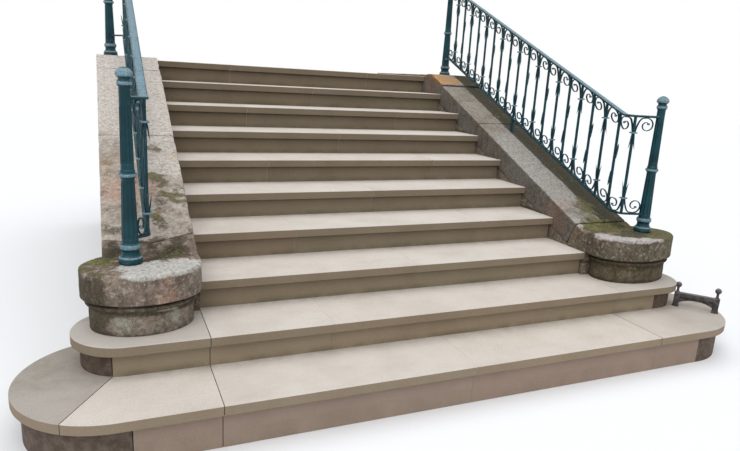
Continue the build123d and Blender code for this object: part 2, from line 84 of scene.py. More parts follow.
# Copings: the slope's line is coping_start_z high over the front, and lengths along are from there
coping_start_z = 0.354
coping_rise = 0.43
coping_depth = 0.19
slope_turn = math.atan(coping_rise)
cap_slope_start = 0.772
cap_slope_start_y = front_y + cap_slope_start
cap_top_z = coping_start_z + coping_rise * cap_slope_start
cap_thickness = 0.15
stone_joint = 0.003
coping_joints = {"left": (0.900, 1.901, 2.855, 3.790), "right": (0.839, 2.174, 2.855, 3.790)}
upper_stone_lift = 0.012

# Lowest joint of a coping: distances outside the inner face, and how far it bends along the flight there
first_joint_wave = {"left": ((0.0, 0.23, 0.42), (0.030, -0.042, -0.004)), "right": ((0.0, 0.42), (0.0, 0.0))}

# Courses of the old walls
course_height = 0.24
stone_length = 0.56

# Drums: half sizes of their ovals, and how far outside the inner face the bases' middles lie
cap_reach_x = {"left": 0.2825, "right": 0.320}
cap_reach_y = 0.205
base_middle = {"left": 0.285, "right": 0.316}
base_reach_x = {"left": 0.243, "right": 0.284}
base_reach_y = 0.185
drum_y = front_y + 0.640
neck_height = 0.034
neck_overhang = 0.016
groove_height = 0.008

# Railing: offsets are from the inner faces outwards, and heights are over the coping at the lower knee
newel_offset = {"lower": {"left": 0.331, "right": 0.432}, "upper": {"left": 0.350, "right": 0.350}}
newel_y = {"lower": front_y + 0.660, "upper": front_y + 3.440}
rail_offset = {"left": 0.246, "right": 0.268}
rail_height = 0.776
rail_width = 0.046
rail_thickness = 0.016
bottom_rail_height = 0.114
bottom_rail_width = 0.028
bottom_rail_thickness = 0.012
lower_knee_y = front_y + 0.800
upper_knee_y = front_y + 3.215
upper_bend_y = front_y + 3.262

# Bars: a foot stands under the long bar of number foot_bar, and the plates lie plate_height off the rails
first_bar_y = front_y + 0.712
long_bar_count = 10
bar_spacing = 0.268
bar_size = 0.015
foot_bar = 5
into_rail = 0.006
into_handrail = 0.001
into_coping = 0.010
plate_height = 0.102
plate_size = 0.044

# Scrolls, leaves and darts: a spread is how far a tip stands off its foot, away from the bar
scroll_width = 0.0148
scroll_thickness = 0.0064
scroll_eye_radius = 0.0075
newel_scroll_stretch = {"left": 0.46, "right": 1.05}
leaf_width = 0.0100
leaf_thickness = 0.0080
leaf_length = 0.108
leaf_spread = 0.019
leaf_bow = 0.004
leaf_start = 0.004
cross_leaf_length = 0.084
cross_leaf_spread = 0.012
dart_width = 0.012
dart_thickness = 0.0072
dart_length = 0.104
dart_spread = 0.013

# Boot scraper: its posts' distances outside the right inner face and behind the front
scraper_places = ((0.561, 0.400), (0.712, 0.218))
scraper_height = 0.1
scraper_post_size = 0.038
scraper_beam_width = 0.036
scraper_beam_height = 0.032
scraper_plate_thickness = 0.007
scraper_arch_foot = 0.006
scraper_arch_height = 0.046
scraper_ball_radius = 0.0205
scraper_ball_height = 0.0500


def outside(side, distance):
    """X of something that stands a distance outside a wall's inner face."""
    return inner_x[side] + SIDES[side] * distance


def waves(points, size, seed, count=20):
    """Smooth relief of about -1 to 1: sine waves in seeded directions with lengths around size, added up."""
    rng = np.random.default_rng(seed)
    directions = rng.normal(size=(count, 3))
    directions /= np.linalg.norm(directions, axis=1, keepdims=True)
    lengths = size * rng.uniform(0.6, 1.9, count)
    phases = rng.uniform(0, 2 * math.pi, count)
    turns = points @ (directions * (2 * math.pi / lengths[:, None])).T + phases
    return np.sin(turns).sum(axis=-1) / math.sqrt(count) / 1.4


def smooth_step(values, low, high):
    """0 below low, 1 above high, and an even S curve between."""
    share = np.clip((values - low) / (high - low), 0, 1)
    return share * share * (3 - 2 * share)


def unit(vectors):
    """Vectors at length 1."""
    return vectors / np.maximum(np.linalg.norm(vectors, axis=-1, keepdims=True), 1e-9)


def outward(grid):
    """Unit normals of a grid that closes around its columns: the cross product of its two directions."""
    around = np.roll(grid, -1, axis=1) - np.roll(grid, 1, axis=1)
    along = np.gradient(grid, axis=0)
    normals = unit(np.cross(around, along))
    middle = grid.mean(axis=(0, 1))
    return normals if (normals * (grid - middle)).sum() > 0 else -normals


def worn(grid, depth, size, seed):
    """The grid sunk inwards along its normals by between nothing and depth, in two sizes of relief."""
    relief = 0.7 * waves(grid, size, seed) + 0.3 * waves(grid, size / 4, seed + 1)
    sink = depth * np.clip(0.5 + 0.5 * relief, 0, 1)
    return grid - outward(grid) * sink[..., None]


def rounded_ring(width, height, radius, across, up, arc=4):
    """Outline of a rounded rectangle about 0: quarter circles joined by straight runs of even points.

    Across and up are how many points its level and upright runs have, and arc how many each corner has.
    """
    half = np.array([width, height]) / 2 - radius
    corners = np.array([(1, 1), (-1, 1), (-1, -1), (1, -1)])
    turn = np.linspace(0, math.pi / 2, arc)
    parts = []
    for k in range(4):
        angle = turn + k * math.pi / 2
        bend = half * corners[k] + radius * np.stack([np.cos(angle), np.sin(angle)], axis=1)
        last = angle[-1]
        following = half * corners[(k + 1) % 4] + radius * np.array([math.cos(last), math.sin(last)])
        share = np.linspace(0, 1, (across, up)[k % 2] + 2)[1:-1, None]
        parts += [bend, bend[-1] * (1 - share) + following * share]
    return np.concatenate(parts)


def oval_ring(reach_x, reach_y, count):
    """Points of an oval about 0 at even angles."""
    angle = np.linspace(0, 2 * math.pi, count, endpoint=False)
    return np.stack([reach_x * np.cos(angle), reach_y * np.sin(angle)], axis=1)


def end_stations(length, spacing, radius, steps=4):
    """Distances along a bar and how far its outline draws in there, a quarter circle at each end."""
    angle = np.linspace(0, math.pi / 2, steps)
    first = radius * (1 - np.cos(angle))
    draw = radius * (1 - np.sin(angle))
    inner = np.linspace(radius, length - radius, max(int(length / spacing), 2))[1:-1]
    distance = np.concatenate([first, inner, length - first[::-1]])
    return distance, np.concatenate([draw, inner * 0, draw[::-1]])


class Piece:
    """Grids of points gathered into one mesh, with named numbers for each point."""

    def __init__(self, name):
        self.name = name
        self.points = []
        self.quads = []
        self.caps = []
        self.fields = {}
        self.count = 0

    def add(self, grid, **fields):
        """A grid that closes around its columns, with a cap on its first and last row."""
        rows, columns = grid.shape[:2]
        index = self.count + np.arange(rows * columns).reshape(rows, columns)
        beside = np.roll(index, -1, axis=1)
        quads = np.stack([index[:-1], beside[:-1], beside[1:], index[1:]], axis=-1).reshape(-1, 4)
        flat = grid.reshape(-1, 3) - grid.mean(axis=(0, 1))
        corner = flat[quads - self.count]
        volume = (corner[:, 0] * np.cross(corner[:, 1], corner[:, 2])).sum()
        volume += (corner[:, 0] * np.cross(corner[:, 2], corner[:, 3])).sum()
        ends = [index[0][::-1], index[-1]]
        if volume < 0:
            quads = quads[:, ::-1]
            ends = [end[::-1] for end in ends]
        self.quads.append(quads)
        self.caps += ends
        self.points.append(grid.reshape(-1, 3))
        for name in {**self.fields, **fields}:
            values = np.broadcast_to(fields.get(name, 0.0), (rows, columns)).reshape(-1)
            self.fields.setdefault(name, [np.zeros(self.count)] if self.count else []).append(values)
        self.count += rows * columns

    def build(self, finish, slot, *nodes, crease=50):
        """Makes the mesh object with its finish, which stands for the named pieces of the frame."""
        quads = np.concatenate(self.quads)
        corners = np.concatenate([quads.reshape(-1)] + self.caps)
        sizes = np.concatenate([np.full(len(quads), 4), np.array([len(cap) for cap in self.caps], int)])
        starts = np.concatenate([[0], np.cumsum(sizes)[:-1]])
        mesh = bpy.data.meshes.new(self.name)
        mesh.vertices.add(self.count)
        mesh.vertices.foreach_set("co", np.concatenate(self.points).astype(np.float32).reshape(-1))
        mesh.loops.add(len(corners))
        mesh.loops.foreach_set("vertex_index", corners.astype(np.int32))
        mesh.polygons.add(len(sizes))
        mesh.polygons.foreach_set("loop_start", starts.astype(np.int32))
        mesh.update(calc_edges=True)
        mesh.validate()
        for name, values in self.fields.items():
            field = mesh.attributes.new(name, "FLOAT", "POINT")
            field.data.foreach_set("value", np.concatenate(values).astype(np.float32))
        mesh.polygons.foreach_set("use_smooth", np.ones(len(mesh.polygons), bool))
        mesh.set_sharp_from_angle(angle=math.radians(crease))
        mesh.materials.append(finish)
        made = bpy.data.objects.new(self.name, mesh)
        bpy.context.scene.collection.objects.link(made)
        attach(made, "root")
        if nodes:
            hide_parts(*nodes)


def carried(path, ring, across=None, scale=None):
    """A closed outline carried along a path.

    Its first axis points along across, or level and square to the path, and its second is square to
    both. Scale multiplies the outline at each point of the path.
    """
    tangent = unit(np.gradient(path, axis=0))
    if across is None:
        level = unit(np.stack([tangent[:, 1], -tangent[:, 0], tangent[:, 0] * 0], axis=1))
    else:
        level = np.broadcast_to(unit(np.asarray(across, float)), path.shape)
    up = unit(np.cross(level, tangent))
    outline = ring[None] if scale is None else ring[None] * np.asarray(scale)[:, None, None]
    return path[:, None] + outline[..., :1] * level[:, None] + outline[..., 1:] * up[:, None]


def softened(points, spacing, reach):
    """Straight runs between points, sampled evenly and averaged over reach, so that corners round off."""
    points = np.asarray(points, float)
    steps = np.linalg.norm(np.diff(points, axis=0), axis=1)
    along = np.concatenate([[0], np.cumsum(steps)])
    at = np.linspace(0, along[-1], int(along[-1] / spacing) + 2)
    offsets = np.linspace(-reach, reach, 9)
    where = at[:, None] + offsets * np.minimum(1, np.minimum(at, along[-1] - at) / reach)[:, None]
    line = [np.interp(where, along, points[:, k]).mean(axis=1) for k in range(3)]
    return np.stack(line, axis=1)


# Stone

# Growth on the copings: distance outside the inner face, distance along the flight, and reach
moss_patches = {"left": ((0.15, 1.45, 0.07), (0.04, 1.23, 0.08), (0.19, 1.06, 0.06), (0.12, 1.75, 0.05)),
                "right": ((0.20, 1.03, 0.07), (0.14, 0.80, 0.09))}
pale_patches = {"left": ((0.12, 2.10, 0.35), (0.12, 2.70, 0.55), (0.12, 3.50, 0.80), (0.10, 1.55, 0.12)),
                "right": ((0.16, 1.89, 0.12), (0.16, 1.74, 0.16), (0.12, 1.35, 0.35), (0.06, 0.86, 0.07))}

# Right coping's dark band of moss and painted shade: where it starts and is full outside the inner face, and
# how much soil and shade it has
dark_band = (0.232, 0.262)
most_soil_and_shade = 1.3

# Soil at the copings' feet: its middle and reach along the flight
foot_soil = (0.76, 0.11)

# Orange lichen: where it starts and is full on the upper stones, along the flight, and how strong it is
upper_lichen = (2.86, 2.90)
upper_lichen_share = {"left": 0.15, "right": 1.0}

# Moss on the caps' outer ends: where it starts and is full, in shares of the reach outwards
cap_moss = {"left": (0.05, 0.70), "right": (-0.15, 0.45)}

# Growth on the drums' bases: degrees from the outer end, height, and the reach of both
base_patches = {"left": ((68, 0.445, 20, 0.060), (127, 0.465, 13, 0.070), (112, 0.500, 12, 0.010)),
                "right": ((120, 0.450, 12, 0.030),)}


def near(first, second, place, reach):
    """A bell curve of the distance from a place in two coordinates: 1 there, little beyond its reach."""
    return np.exp(-((first - place[0]) ** 2 + (second - place[1]) ** 2) / reach ** 2)


def coping_top(y):
    """Height of the coping's upper surface: level over the drum, sloping, then level at the landing."""
    return np.clip(coping_start_z + coping_rise * (y - front_y), cap_top_z, flat_top_z)


def coping_under(y):
    """Height of the coping's underside: a set depth below its top, but no lower than the cap's underside."""
    return np.maximum(coping_top(y) - coping_depth, cap_top_z - cap_thickness)


def in_patches(out, along, patches, widen=1.0):
    """Round patches of growth added up, each strongest in its middle."""
    return sum(near(out, along, spot[:2], widen * spot[2]) for spot in patches)


def growth(moss, crust, soil, patch, orange=0.0, edge=0.0, soil_and_shade_limit=1.0):
    """The numbers that an old stone's finish reads at each point, each kept in its range."""
    return {"moss": np.clip(moss, 0, 1), "crust": np.clip(crust, 0, 1), "soil": np.clip(soil, 0, soil_and_shade_limit),
            "orange": np.clip(orange, 0, 1), "patch": patch, "edge": edge}


def orange_lichen(grid, side, seed, out, along, top, band):
    """Orange lichen on the upper stones and the inner arris, and on the left in a lower zone too."""
    high = smooth_step(along, *upper_lichen) * upper_lichen_share[side]
    arris = np.exp(-(out / 0.014) ** 2) * top * smooth_step(waves(grid, 0.3, seed + 6), -0.2, 0.6)
    orange = high * top * (1 - band) * smooth_step(waves(grid, 0.4, seed + 8), -0.9, 0.4) + 0.45 * arris
    if side == "left":
        low = smooth_step(along, 0.95, 1.15) * (1 - smooth_step(along, 1.6, 2.2))
        orange = orange + 0.5 * low * top * smooth_step(waves(grid, 0.22, seed + 12), -0.2, 0.9)
    return orange


def coping_fields(grid, side, seed, edge):
    """Growth on a coping: moss and lichen in patches, soil at the foot, a dark outer band of moss and painted
    shade on the right.
    """
    out = (grid[..., 0] - inner_x[side]) * SIDES[side]
    along = grid[..., 1] - front_y
    top = smooth_step(grid[..., 2] - coping_top(grid[..., 1]), -0.03, -0.012)
    wander = waves(grid, 0.2, seed + 3)
    # The right coping's dark band: moss, with painted shade laid on through the soil field
    band = top * smooth_step(out + 0.004 * wander, *dark_band) * (side == "right")
    foot = top * np.exp(-((along - foot_soil[0]) / foot_soil[1]) ** 2) * smooth_step(out, 0.02, 0.09)
    ragged = 0.90 + 0.60 * waves(grid, 0.06, seed + 5)
    moss = top * ragged * in_patches(out, along, moss_patches[side], 1.35)
    moss = moss + band * (0.30 + 0.22 * wander) + 0.55 * foot
    low_end = 1 - smooth_step(along, 1.5, 2.0)
    stain = 0.62 * top * smooth_step(waves(grid, 0.10, seed + 7), -0.3, 0.7) * low_end
    soil = most_soil_and_shade * band + 0.8 * foot + stain
    pale = top * (1 - band) * in_patches(out, along, pale_patches[side])
    pale = (0.85 * pale + 0.3 * top * (1 - band)) * (1 - foot)
    orange = orange_lichen(grid, side, seed, out, along, top, band)
    return growth(moss, pale, soil, waves(grid, 0.5, seed), orange, edge, most_soil_and_shade)


def joint_bend(side, start, end, share, out):
    """How far a stone's points bend along the flight: with the waving lowest joint, fading away from it."""
    joint = coping_joints[side][0]
    pull = share ** 3 if end == joint else (1 - share) ** 3 * (start == joint)
    return pull[:, None] * np.interp(out, *first_joint_wave[side])


def coping_stone(piece, side, start, end, lift, seed):
    """One coping stone from joint to joint: a rounded rectangle between the upper and lower line.

    Its joints are square to the slope, and its arrises are chipped by up to chip_depth.
    """
    chip_reach, chip_depth = 0.014, 0.007
    start_y = front_y + start + stone_joint / 2
    end_y = front_y + end - stone_joint / 2
    lean = coping_depth * math.sin(slope_turn) * math.cos(slope_turn)
    lean_start = lean if start_y > cap_slope_start_y and coping_top(start_y) < flat_top_z else 0
    lean_end = lean if coping_top(end_y) < flat_top_z else 0
    distance, draw = end_stations(end_y - start_y, 0.014, 0.007)
    share = distance / (end_y - start_y)
    top_y = start_y + (end_y - start_y) * share
    low_y = start_y + lean_start + (end_y + lean_end - start_y - lean_start) * share
    raise_by = lift * (1 - smooth_step(share, 0.0, 0.55))
    ring = rounded_ring(wall_width, coping_depth, 0.008, 26, 11)
    outline = ring[None] * (1 - 2 * draw[:, None, None] / np.array([wall_width, coping_depth]))
    height = outline[..., 1] / coping_depth + 0.5
    x = (inner_x[side] + outer_x[side]) / 2 + outline[..., 0]
    bend = joint_bend(side, start, end, share, (x - inner_x[side]) * SIDES[side])
    upper = coping_top(top_y[:, None] + bend) + raise_by[:, None]
    lower = coping_under(low_y[:, None] + bend)
    y = low_y[:, None] + (top_y - low_y)[:, None] * height + bend
    z = lower + (upper - lower) * height
    grid = np.stack([x, y, z], axis=-1)
    corner = np.hypot(wall_width / 2 - np.abs(ring[:, 0]), coping_depth / 2 - np.abs(ring[:, 1]))
    chips = np.exp(-(corner / chip_reach) ** 2)[None] * smooth_step(waves(grid, 0.09, seed + 9), 0.1, 0.9)
    grid = grid - outward(grid) * (chips * chip_depth)[..., None]
    grid = worn(grid, 0.0035, 0.11, seed)
    piece.add(grid, **coping_fields(grid, side, seed, np.exp(-(corner / 0.02) ** 2)[None]))


def oval_stone(piece, x, y, profile, reach_x, reach_y, columns, wear, seed, fields):
    """An oval stone: the profile's rows give how far the outline draws in, and its height."""
    ring = oval_ring(1, 1, columns)
    rows = []
    for draw, z in profile:
        flat = ring * np.array([reach_x - draw, reach_y - min(draw, reach_y * draw / reach_x)])
        rows.append(np.column_stack([x + flat[:, 0], y + flat[:, 1], np.full(columns, z)]))
    grid = worn(np.stack(rows), wear, 0.12, seed)
    piece.add(grid, **fields(grid))


def quarter(draw, z0, z1, steps=4):
    """Rows of a rounded edge, from a vertical face at z0 to a level face at z1."""
    angle = np.linspace(0, math.pi / 2, steps)
    return [(draw * (1 - math.cos(a)), z0 + (z1 - z0) * math.sin(a)) for a in angle]


def from_outer_end(grid, side, x, reach_x, reach_y):
    """Degrees round an oval drum from its outer end: 90 at the front and the back, 180 at the flight."""
    out = (grid[..., 0] - x) * SIDES[side] * reach_y / reach_x
    return np.abs(np.degrees(np.arctan2(drum_y - grid[..., 1], out)))


def cap_fields(grid, side, seed):
    """Growth on a cap: pale crust on its front rim, moss on its outer end, soil behind and round the post,
    painted shade on its sides.
    """
    reach = cap_reach_x[side]
    x = outside(side, reach)
    across = (grid[..., 0] - x) / reach * SIDES[side]
    back = (grid[..., 1] - drum_y) / cap_reach_y
    top = smooth_step(grid[..., 2], cap_top_z - 0.03, cap_top_z - 0.006)
    rim = np.exp(-((grid[..., 2] - cap_top_z + 0.006) / 0.016) ** 2)
    wander = waves(grid, 0.09, seed + 2)
    turn = from_outer_end(grid, side, x, reach, cap_reach_y)
    post_x = outside(side, newel_offset["lower"][side])
    post = near(grid[..., 0], grid[..., 1], (post_x, newel_y["lower"]), 0.095)
    outer = smooth_step(across + 0.18 * wander, *cap_moss[side])
    behind = smooth_step(back + 0.18 * wander, -0.15, 0.45)
    inside = 1 - smooth_step(np.hypot(across, back) + 0.08 * wander, 0.55, 0.80)
    pale = 0.66 * (top + 0.8 * rim) * (1 - outer) * (1 - behind)
    moss = top * (0.62 * outer + 0.42 * behind)
    soil = top * np.maximum(0.45 * outer + 0.75 * behind, 0.9 * post)
    # Painted shade on the upright sides: the left cap's outer end, and a set amount all round the right cap
    if side == "left":
        shade = 1 - smooth_step(turn, 42, 70)
        pale = pale + 0.45 * (1 - top) * smooth_step(turn + 8 * wander, 132, 146)
    else:
        shade = 0.35
        pale = pale * (1 - 0.8 * inside)
        soil = np.maximum(soil, 0.8 * inside * top)
        moss = moss + 0.55 * (1 - smooth_step(turn + 12 * wander, 60, 105)) * (1 - top) + 0.3 * rim * outer
        pale = pale * (1 - 0.5 * outer)
    # The painted shade goes on the upright sides through the soil field
    soil = soil + shade * (1 - top) * (1 - rim)
    pink = np.exp(-((turn - 111) / 9) ** 2) * (0.55 + 0.5 * wander) * (side == "left")
    return growth(moss, pale, soil, waves(grid, 0.3, seed) * 0.6 + pink, edge=rim)


def cap_stone(side, finish, seed):
    """The drum's cap: a thick oval with a rounded rim, in one with the start of the sloping coping."""
    piece = Piece(f"cap_{side}")
    low = cap_top_z - cap_thickness
    top_draws = (0.022, 0.032, 0.045, 0.06, 0.08, 0.10, 0.13, 0.16, 0.19, 0.22, 0.25, 0.27)
    profile = [(0.24, low), (0.12, low)]
    profile += [(draw, z) for draw, z in quarter(0.010, low + 0.010, low)[::-1]]
    profile += [(0.0, low + share * cap_thickness) for share in (0.15, 0.3, 0.45, 0.6, 0.75)]
    profile += quarter(0.014, cap_top_z - 0.014, cap_top_z, 6)
    profile += [(draw, cap_top_z) for draw in top_draws]
    reach = cap_reach_x[side]
    oval_stone(piece, outside(side, reach), drum_y, profile, reach, cap_reach_y, 150, 0.004, seed,
               lambda grid: cap_fields(grid, side, seed))
    coping_stone(piece, side, drum_y - front_y, coping_joints[side][0], 0, seed + 20)
    piece.build(finish, "cap_stone", f"cap_stone_{side}")


def base_fields(grid, side, seed):
    """Growth on a drum's base: white lichen in patches, moss under the neck, soil at the foot, and painted
    shade under and on the neck, at the left base's outer end and over the right base.
    """
    turn = from_outer_end(grid, side, outside(side, base_middle[side]), base_reach_x[side], base_reach_y)
    height = grid[..., 2]
    wander = waves(grid, 0.12, seed + 3)
    pale = 0.82 * sum(np.exp(-((turn - spot[0]) / spot[2]) ** 2 - ((height - spot[1]) / spot[3]) ** 2)
                      for spot in base_patches[side])
    neck_foot = cap_top_z - cap_thickness - groove_height - neck_height
    # Painted shade in a band just under the neck moulding
    painted_shade_below = np.exp(-((height - neck_foot + 0.004) / 0.016) ** 2)
    foot = 1 - smooth_step(height, second_tread_z + 0.004, second_tread_z + 0.03)
    # Painted shade: the left base's outer end, and a set amount over the whole right base
    shade = 1 - smooth_step(turn, 38, 62) if side == "left" else 0.5
    # Soil and painted shade: the band under the neck, painted shade on the neck and groove under the cap, and
    # soil at the foot
    soil = shade + 0.9 * painted_shade_below + 0.75 * smooth_step(height, neck_foot - 0.004, neck_foot + 0.006) + 0.5 * foot
    moss = 0.3 * painted_shade_below * smooth_step(wander, -0.3, 0.5)
    moss = moss + (0.4 if side == "right" else 0.1) * smooth_step(wander, -0.4, 0.8)
    return growth(moss, pale, soil, waves(grid, 0.2, seed + 1) * 0.7)


def drum_base(side, finish, seed):
    """The block under the cap: an oval with a half-round neck moulding below a groove."""
    piece = Piece(f"drum_{side}")
    foot = second_tread_z
    top = cap_top_z - cap_thickness
    neck_top = top - groove_height
    neck_foot = neck_top - neck_height
    profile = [(0.2, foot), (0.004, foot), (0.0, foot + 0.006)]
    profile += [(0.0, foot + (neck_foot - foot) * share) for share in (0.25, 0.5, 0.75, 0.92)]
    profile += [(0.003, neck_foot), (0.0, neck_foot + 0.003)]
    turn = np.linspace(-math.pi / 2, math.pi / 2, 9)
    middle = (neck_foot + neck_top) / 2 + 0.003
    half = neck_height / 2 - 0.004
    profile += [(-neck_overhang * math.cos(a), middle + half * math.sin(a)) for a in turn]
    profile += [(0.004, neck_top), (0.004, top), (0.2, top)]
    x = outside(side, base_middle[side])
    oval_stone(piece, x, drum_y, profile, base_reach_x[side], base_reach_y, 130, 0.004, seed,
               lambda grid: base_fields(grid, side, seed))
    piece.build(finish, "drum_stone", f"drum_base_{side}")


def copings(side, finish, seed):
    """The coping stones above the cap stone, each a node of its own."""
    joints = coping_joints[side] + (house_y - front_y,)
    for k, name in enumerate(("lower", "middle", "upper", "landing")):
        piece = Piece(f"coping_stone_{name}_{side}")
        lift = upper_stone_lift if name == "upper" and side == "right" else 0
        coping_stone(piece, side, joints[k], joints[k + 1], lift, seed + k)
        piece.build(finish, "coping_stone", f"coping_{name}_{side}")


def strip(piece, start, end, width, height):
    """A bar of pointing between two points, its upper face a little hollow."""
    path = np.linspace(start, end, 6)
    section = np.array([(-0.5, -0.5), (0.5, -0.5), (0.5, 0.5), (0, 0.48), (-0.5, 0.5)]) * (width, height)
    piece.add(carried(path, section))


def joint_strips(piece, step, places, sunk, tread=True, riser=True):
    """Pointing in the joints of one step's tread, riser or both, sunk by a little below their faces."""
    tread_set_back, riser_set_back, riser_depth = 0.001, 0.0006, 0.055
    play = 0.0002
    top = first_tread_z + riser_height * (step - 1)
    foot = 0 if step == 1 else top - riser_height
    front = front_y + going * (step - 1)
    back = front + going + nosing
    riser_front = front + nosing + riser_set_back + sunk
    riser_back = front + nosing + riser_depth
    width = stone_gap - play
    middle = top - tread_thickness / 2
    height = tread_thickness - 2 * sunk
    low_middle = (foot + top - tread_thickness) / 2
    low_height = top - tread_thickness - foot
    for place in places:
        x = middle_x + place
        if tread:
            strip(piece, (x, front + tread_set_back + sunk, middle), (x, back, middle), width, height)
        if riser:
            strip(piece, (x, riser_front, low_middle), (x, riser_back, low_middle), width, low_height)


def mortar(inner_finish, end_finish):
    """Pointing between the steps' stones: pale and nearly flush, but darker and sunk beside the walls."""
    flush, sunk = 0.0004, 0.005
    piece = Piece("step_pointing")
    for step in range(1, step_count + 1):
        joint_strips(piece, step, [0] if step % 2 else [-quarter_joint, quarter_joint], flush)
    joint_strips(piece, 1, [half_width], flush, tread=False)
    joint_strips(piece, 2, [half_width], flush)
    piece.build(inner_finish, "core_masonry")
    piece = Piece("end_pointing")
    for step in (1, 2):
        joint_strips(piece, step, [-half_width], sunk)
    joint_strips(piece, 1, [half_width], sunk, riser=False)
    piece.build(end_finish, "core_masonry")


# Ironwork

# Newels' outline in heights and radii, from the foot plate up to the crown of the cap
newel_foot = (
    (0.000, 0.0545), (0.003, 0.0560), (0.015, 0.0560), (0.018, 0.0550), (0.020, 0.0532), (0.023, 0.0530),
    (0.026, 0.0545), (0.029, 0.0540), (0.033, 0.0505), (0.039, 0.0445), (0.046, 0.0412), (0.054, 0.0400),
)
newel_foot_ring = (
    (0.061, 0.0402), (0.066, 0.0418), (0.069, 0.0448), (0.073, 0.0470), (0.079, 0.0480), (0.086, 0.0480),
    (0.091, 0.0470), (0.095, 0.0445), (0.097, 0.0405), (0.100, 0.0385), (0.112, 0.0380),
)
newel_middle_rings = (
    (0.404, 0.0300), (0.408, 0.0300), (0.410, 0.0325), (0.413, 0.0335), (0.416, 0.0325), (0.4175, 0.0335),
    (0.420, 0.0380), (0.424, 0.0410), (0.428, 0.0420), (0.432, 0.0410), (0.436, 0.0380), (0.4385, 0.0335),
    (0.440, 0.0325), (0.444, 0.0340), (0.448, 0.0335), (0.451, 0.0312), (0.455, 0.0302), (0.470, 0.0300),
)
newel_neck_ring = (
    (0.750, 0.0262), (0.828, 0.0260), (0.832, 0.0290), (0.836, 0.0320), (0.842, 0.0335), (0.849, 0.0335),
    (0.855, 0.0315), (0.859, 0.0275), (0.863, 0.0262),
)
newel_cap = (
    (0.868, 0.0275), (0.873, 0.0330), (0.877, 0.0370), (0.882, 0.0386), (0.887, 0.0386), (0.893, 0.0370),
    (0.900, 0.0330), (0.908, 0.0255), (0.914, 0.0150), (0.9175, 0.0030),
)
newel_profile = newel_foot + newel_foot_ring + newel_middle_rings + newel_neck_ring + newel_cap
newel_height = 0.918
flute_runs = ((0.112, 0.404), (0.470, 0.750))
flute_count = 10
flute_depth = 0.0046
flute_share = 0.72
flute_run_out = 0.014


def newel_rows():
    """Heights of a newel's rows: its outline's own, even ones, and close ones at the flutes' ends."""
    ends = np.array([0.003, 0.006, 0.01, 0.016])
    rows = [[height for height, radius in newel_profile], np.linspace(0, newel_height - 0.001, 110)]
    for low, high in flute_runs:
        rows += [low + ends, high - ends]
    return np.unique(np.concatenate(rows))


def newel(side, place, finish):
    """A turned post: its profile swept round, with flutes of half-round section sunk into two lengths."""
    heights, radii = np.array(newel_profile).T
    rows = newel_rows()
    radius = np.interp(rows, heights, radii)
    angle = np.linspace(0, 2 * math.pi, flute_count * 12, endpoint=False)
    across = (angle / (2 * math.pi) * flute_count) % 1 - 0.5
    hollow = np.sqrt(np.clip(1 - (across / (flute_share / 2)) ** 2, 0, 1))
    end = flute_run_out
    depth = sum(smooth_step(rows, low, low + end) * (1 - smooth_step(rows, high - end, high))
                for low, high in flute_runs)
    reach = radius[:, None] - flute_depth * depth[:, None] * hollow[None]
    x = outside(side, newel_offset[place][side])
    y = newel_y[place]
    foot = coping_top(y) if place == "upper" else cap_top_z
    grid = np.stack([x + reach * np.cos(angle), y + reach * np.sin(angle),
                     np.broadcast_to(foot + rows[:, None], reach.shape)], axis=-1)
    around = np.interp(rows[:, None] + np.array([-0.012, 0.012]), heights, radii).mean(axis=1)
    # Rings and flute ridges are marked worn: wear and painted highlight
    bulge = np.clip((radius - around) / 0.0035, 0, 1)
    ridge = depth[:, None] * (1 - hollow[None]) * 0.15
    piece = Piece(f"newel_post_{place}_{side}")
    piece.add(grid, worn=np.clip(bulge[:, None] + ridge, 0, 1))
    piece.build(finish, "painted_iron", f"newel_{place}_{side}", crease=70)


def rail_line(height):
    """A rail's height as a function of y: parallel to the coping between the two knees, level beyond."""
    base = coping_top(lower_knee_y) + height

    def at(y):
        """The rail's height at y."""
        return base + coping_rise * (np.clip(y, lower_knee_y, upper_knee_y) - lower_knee_y)

    return at


def rail_points(side, height):
    """Corner points of a rail: from newel to railing plane, level, slope, level and back to the newel."""
    at = rail_line(height)
    rail_x = outside(side, rail_offset[side])
    ends = {place: outside(side, newel_offset[place][side]) for place in newel_y}
    corners = [(ends["lower"], newel_y["lower"]), (rail_x, first_bar_y), (rail_x, lower_knee_y)]
    corners += [(rail_x, upper_knee_y), (rail_x, upper_bend_y), (ends["upper"], newel_y["upper"])]
    return [(x, y, at(y)) for x, y in corners]


def handrail_ring(columns=28):
    """The handrail's outline, powers of a cosine and a sine: a low crown, a flat underside, rolled lips."""
    angle = np.linspace(0, 2 * math.pi, columns, endpoint=False)
    across = np.sign(np.cos(angle)) * np.abs(np.cos(angle)) ** 0.7 * rail_width / 2
    lift = np.sin(angle)
    half = rail_thickness / 2
    up = np.where(lift > 0, np.abs(lift) ** 0.6 * half, -np.abs(lift) ** 0.35 * half)
    return np.stack([across, up], axis=1)


def handrail(side, finish):
    """The handrail's rounded outline carried along the softened rail line."""
    path = softened(rail_points(side, rail_height - rail_thickness / 2), 0.02, 0.02)
    piece = Piece(f"handrail_bar_{side}")
    ring = handrail_ring()
    # The handrail's top is marked worn: wear and painted sky highlight
    top = np.clip(ring[:, 1] / (rail_thickness / 2), 0, 1)[None]
    piece.add(carried(path, ring), worn=0.9 * top)
    piece.build(finish, "painted_iron", f"handrail_{side}", crease=60)


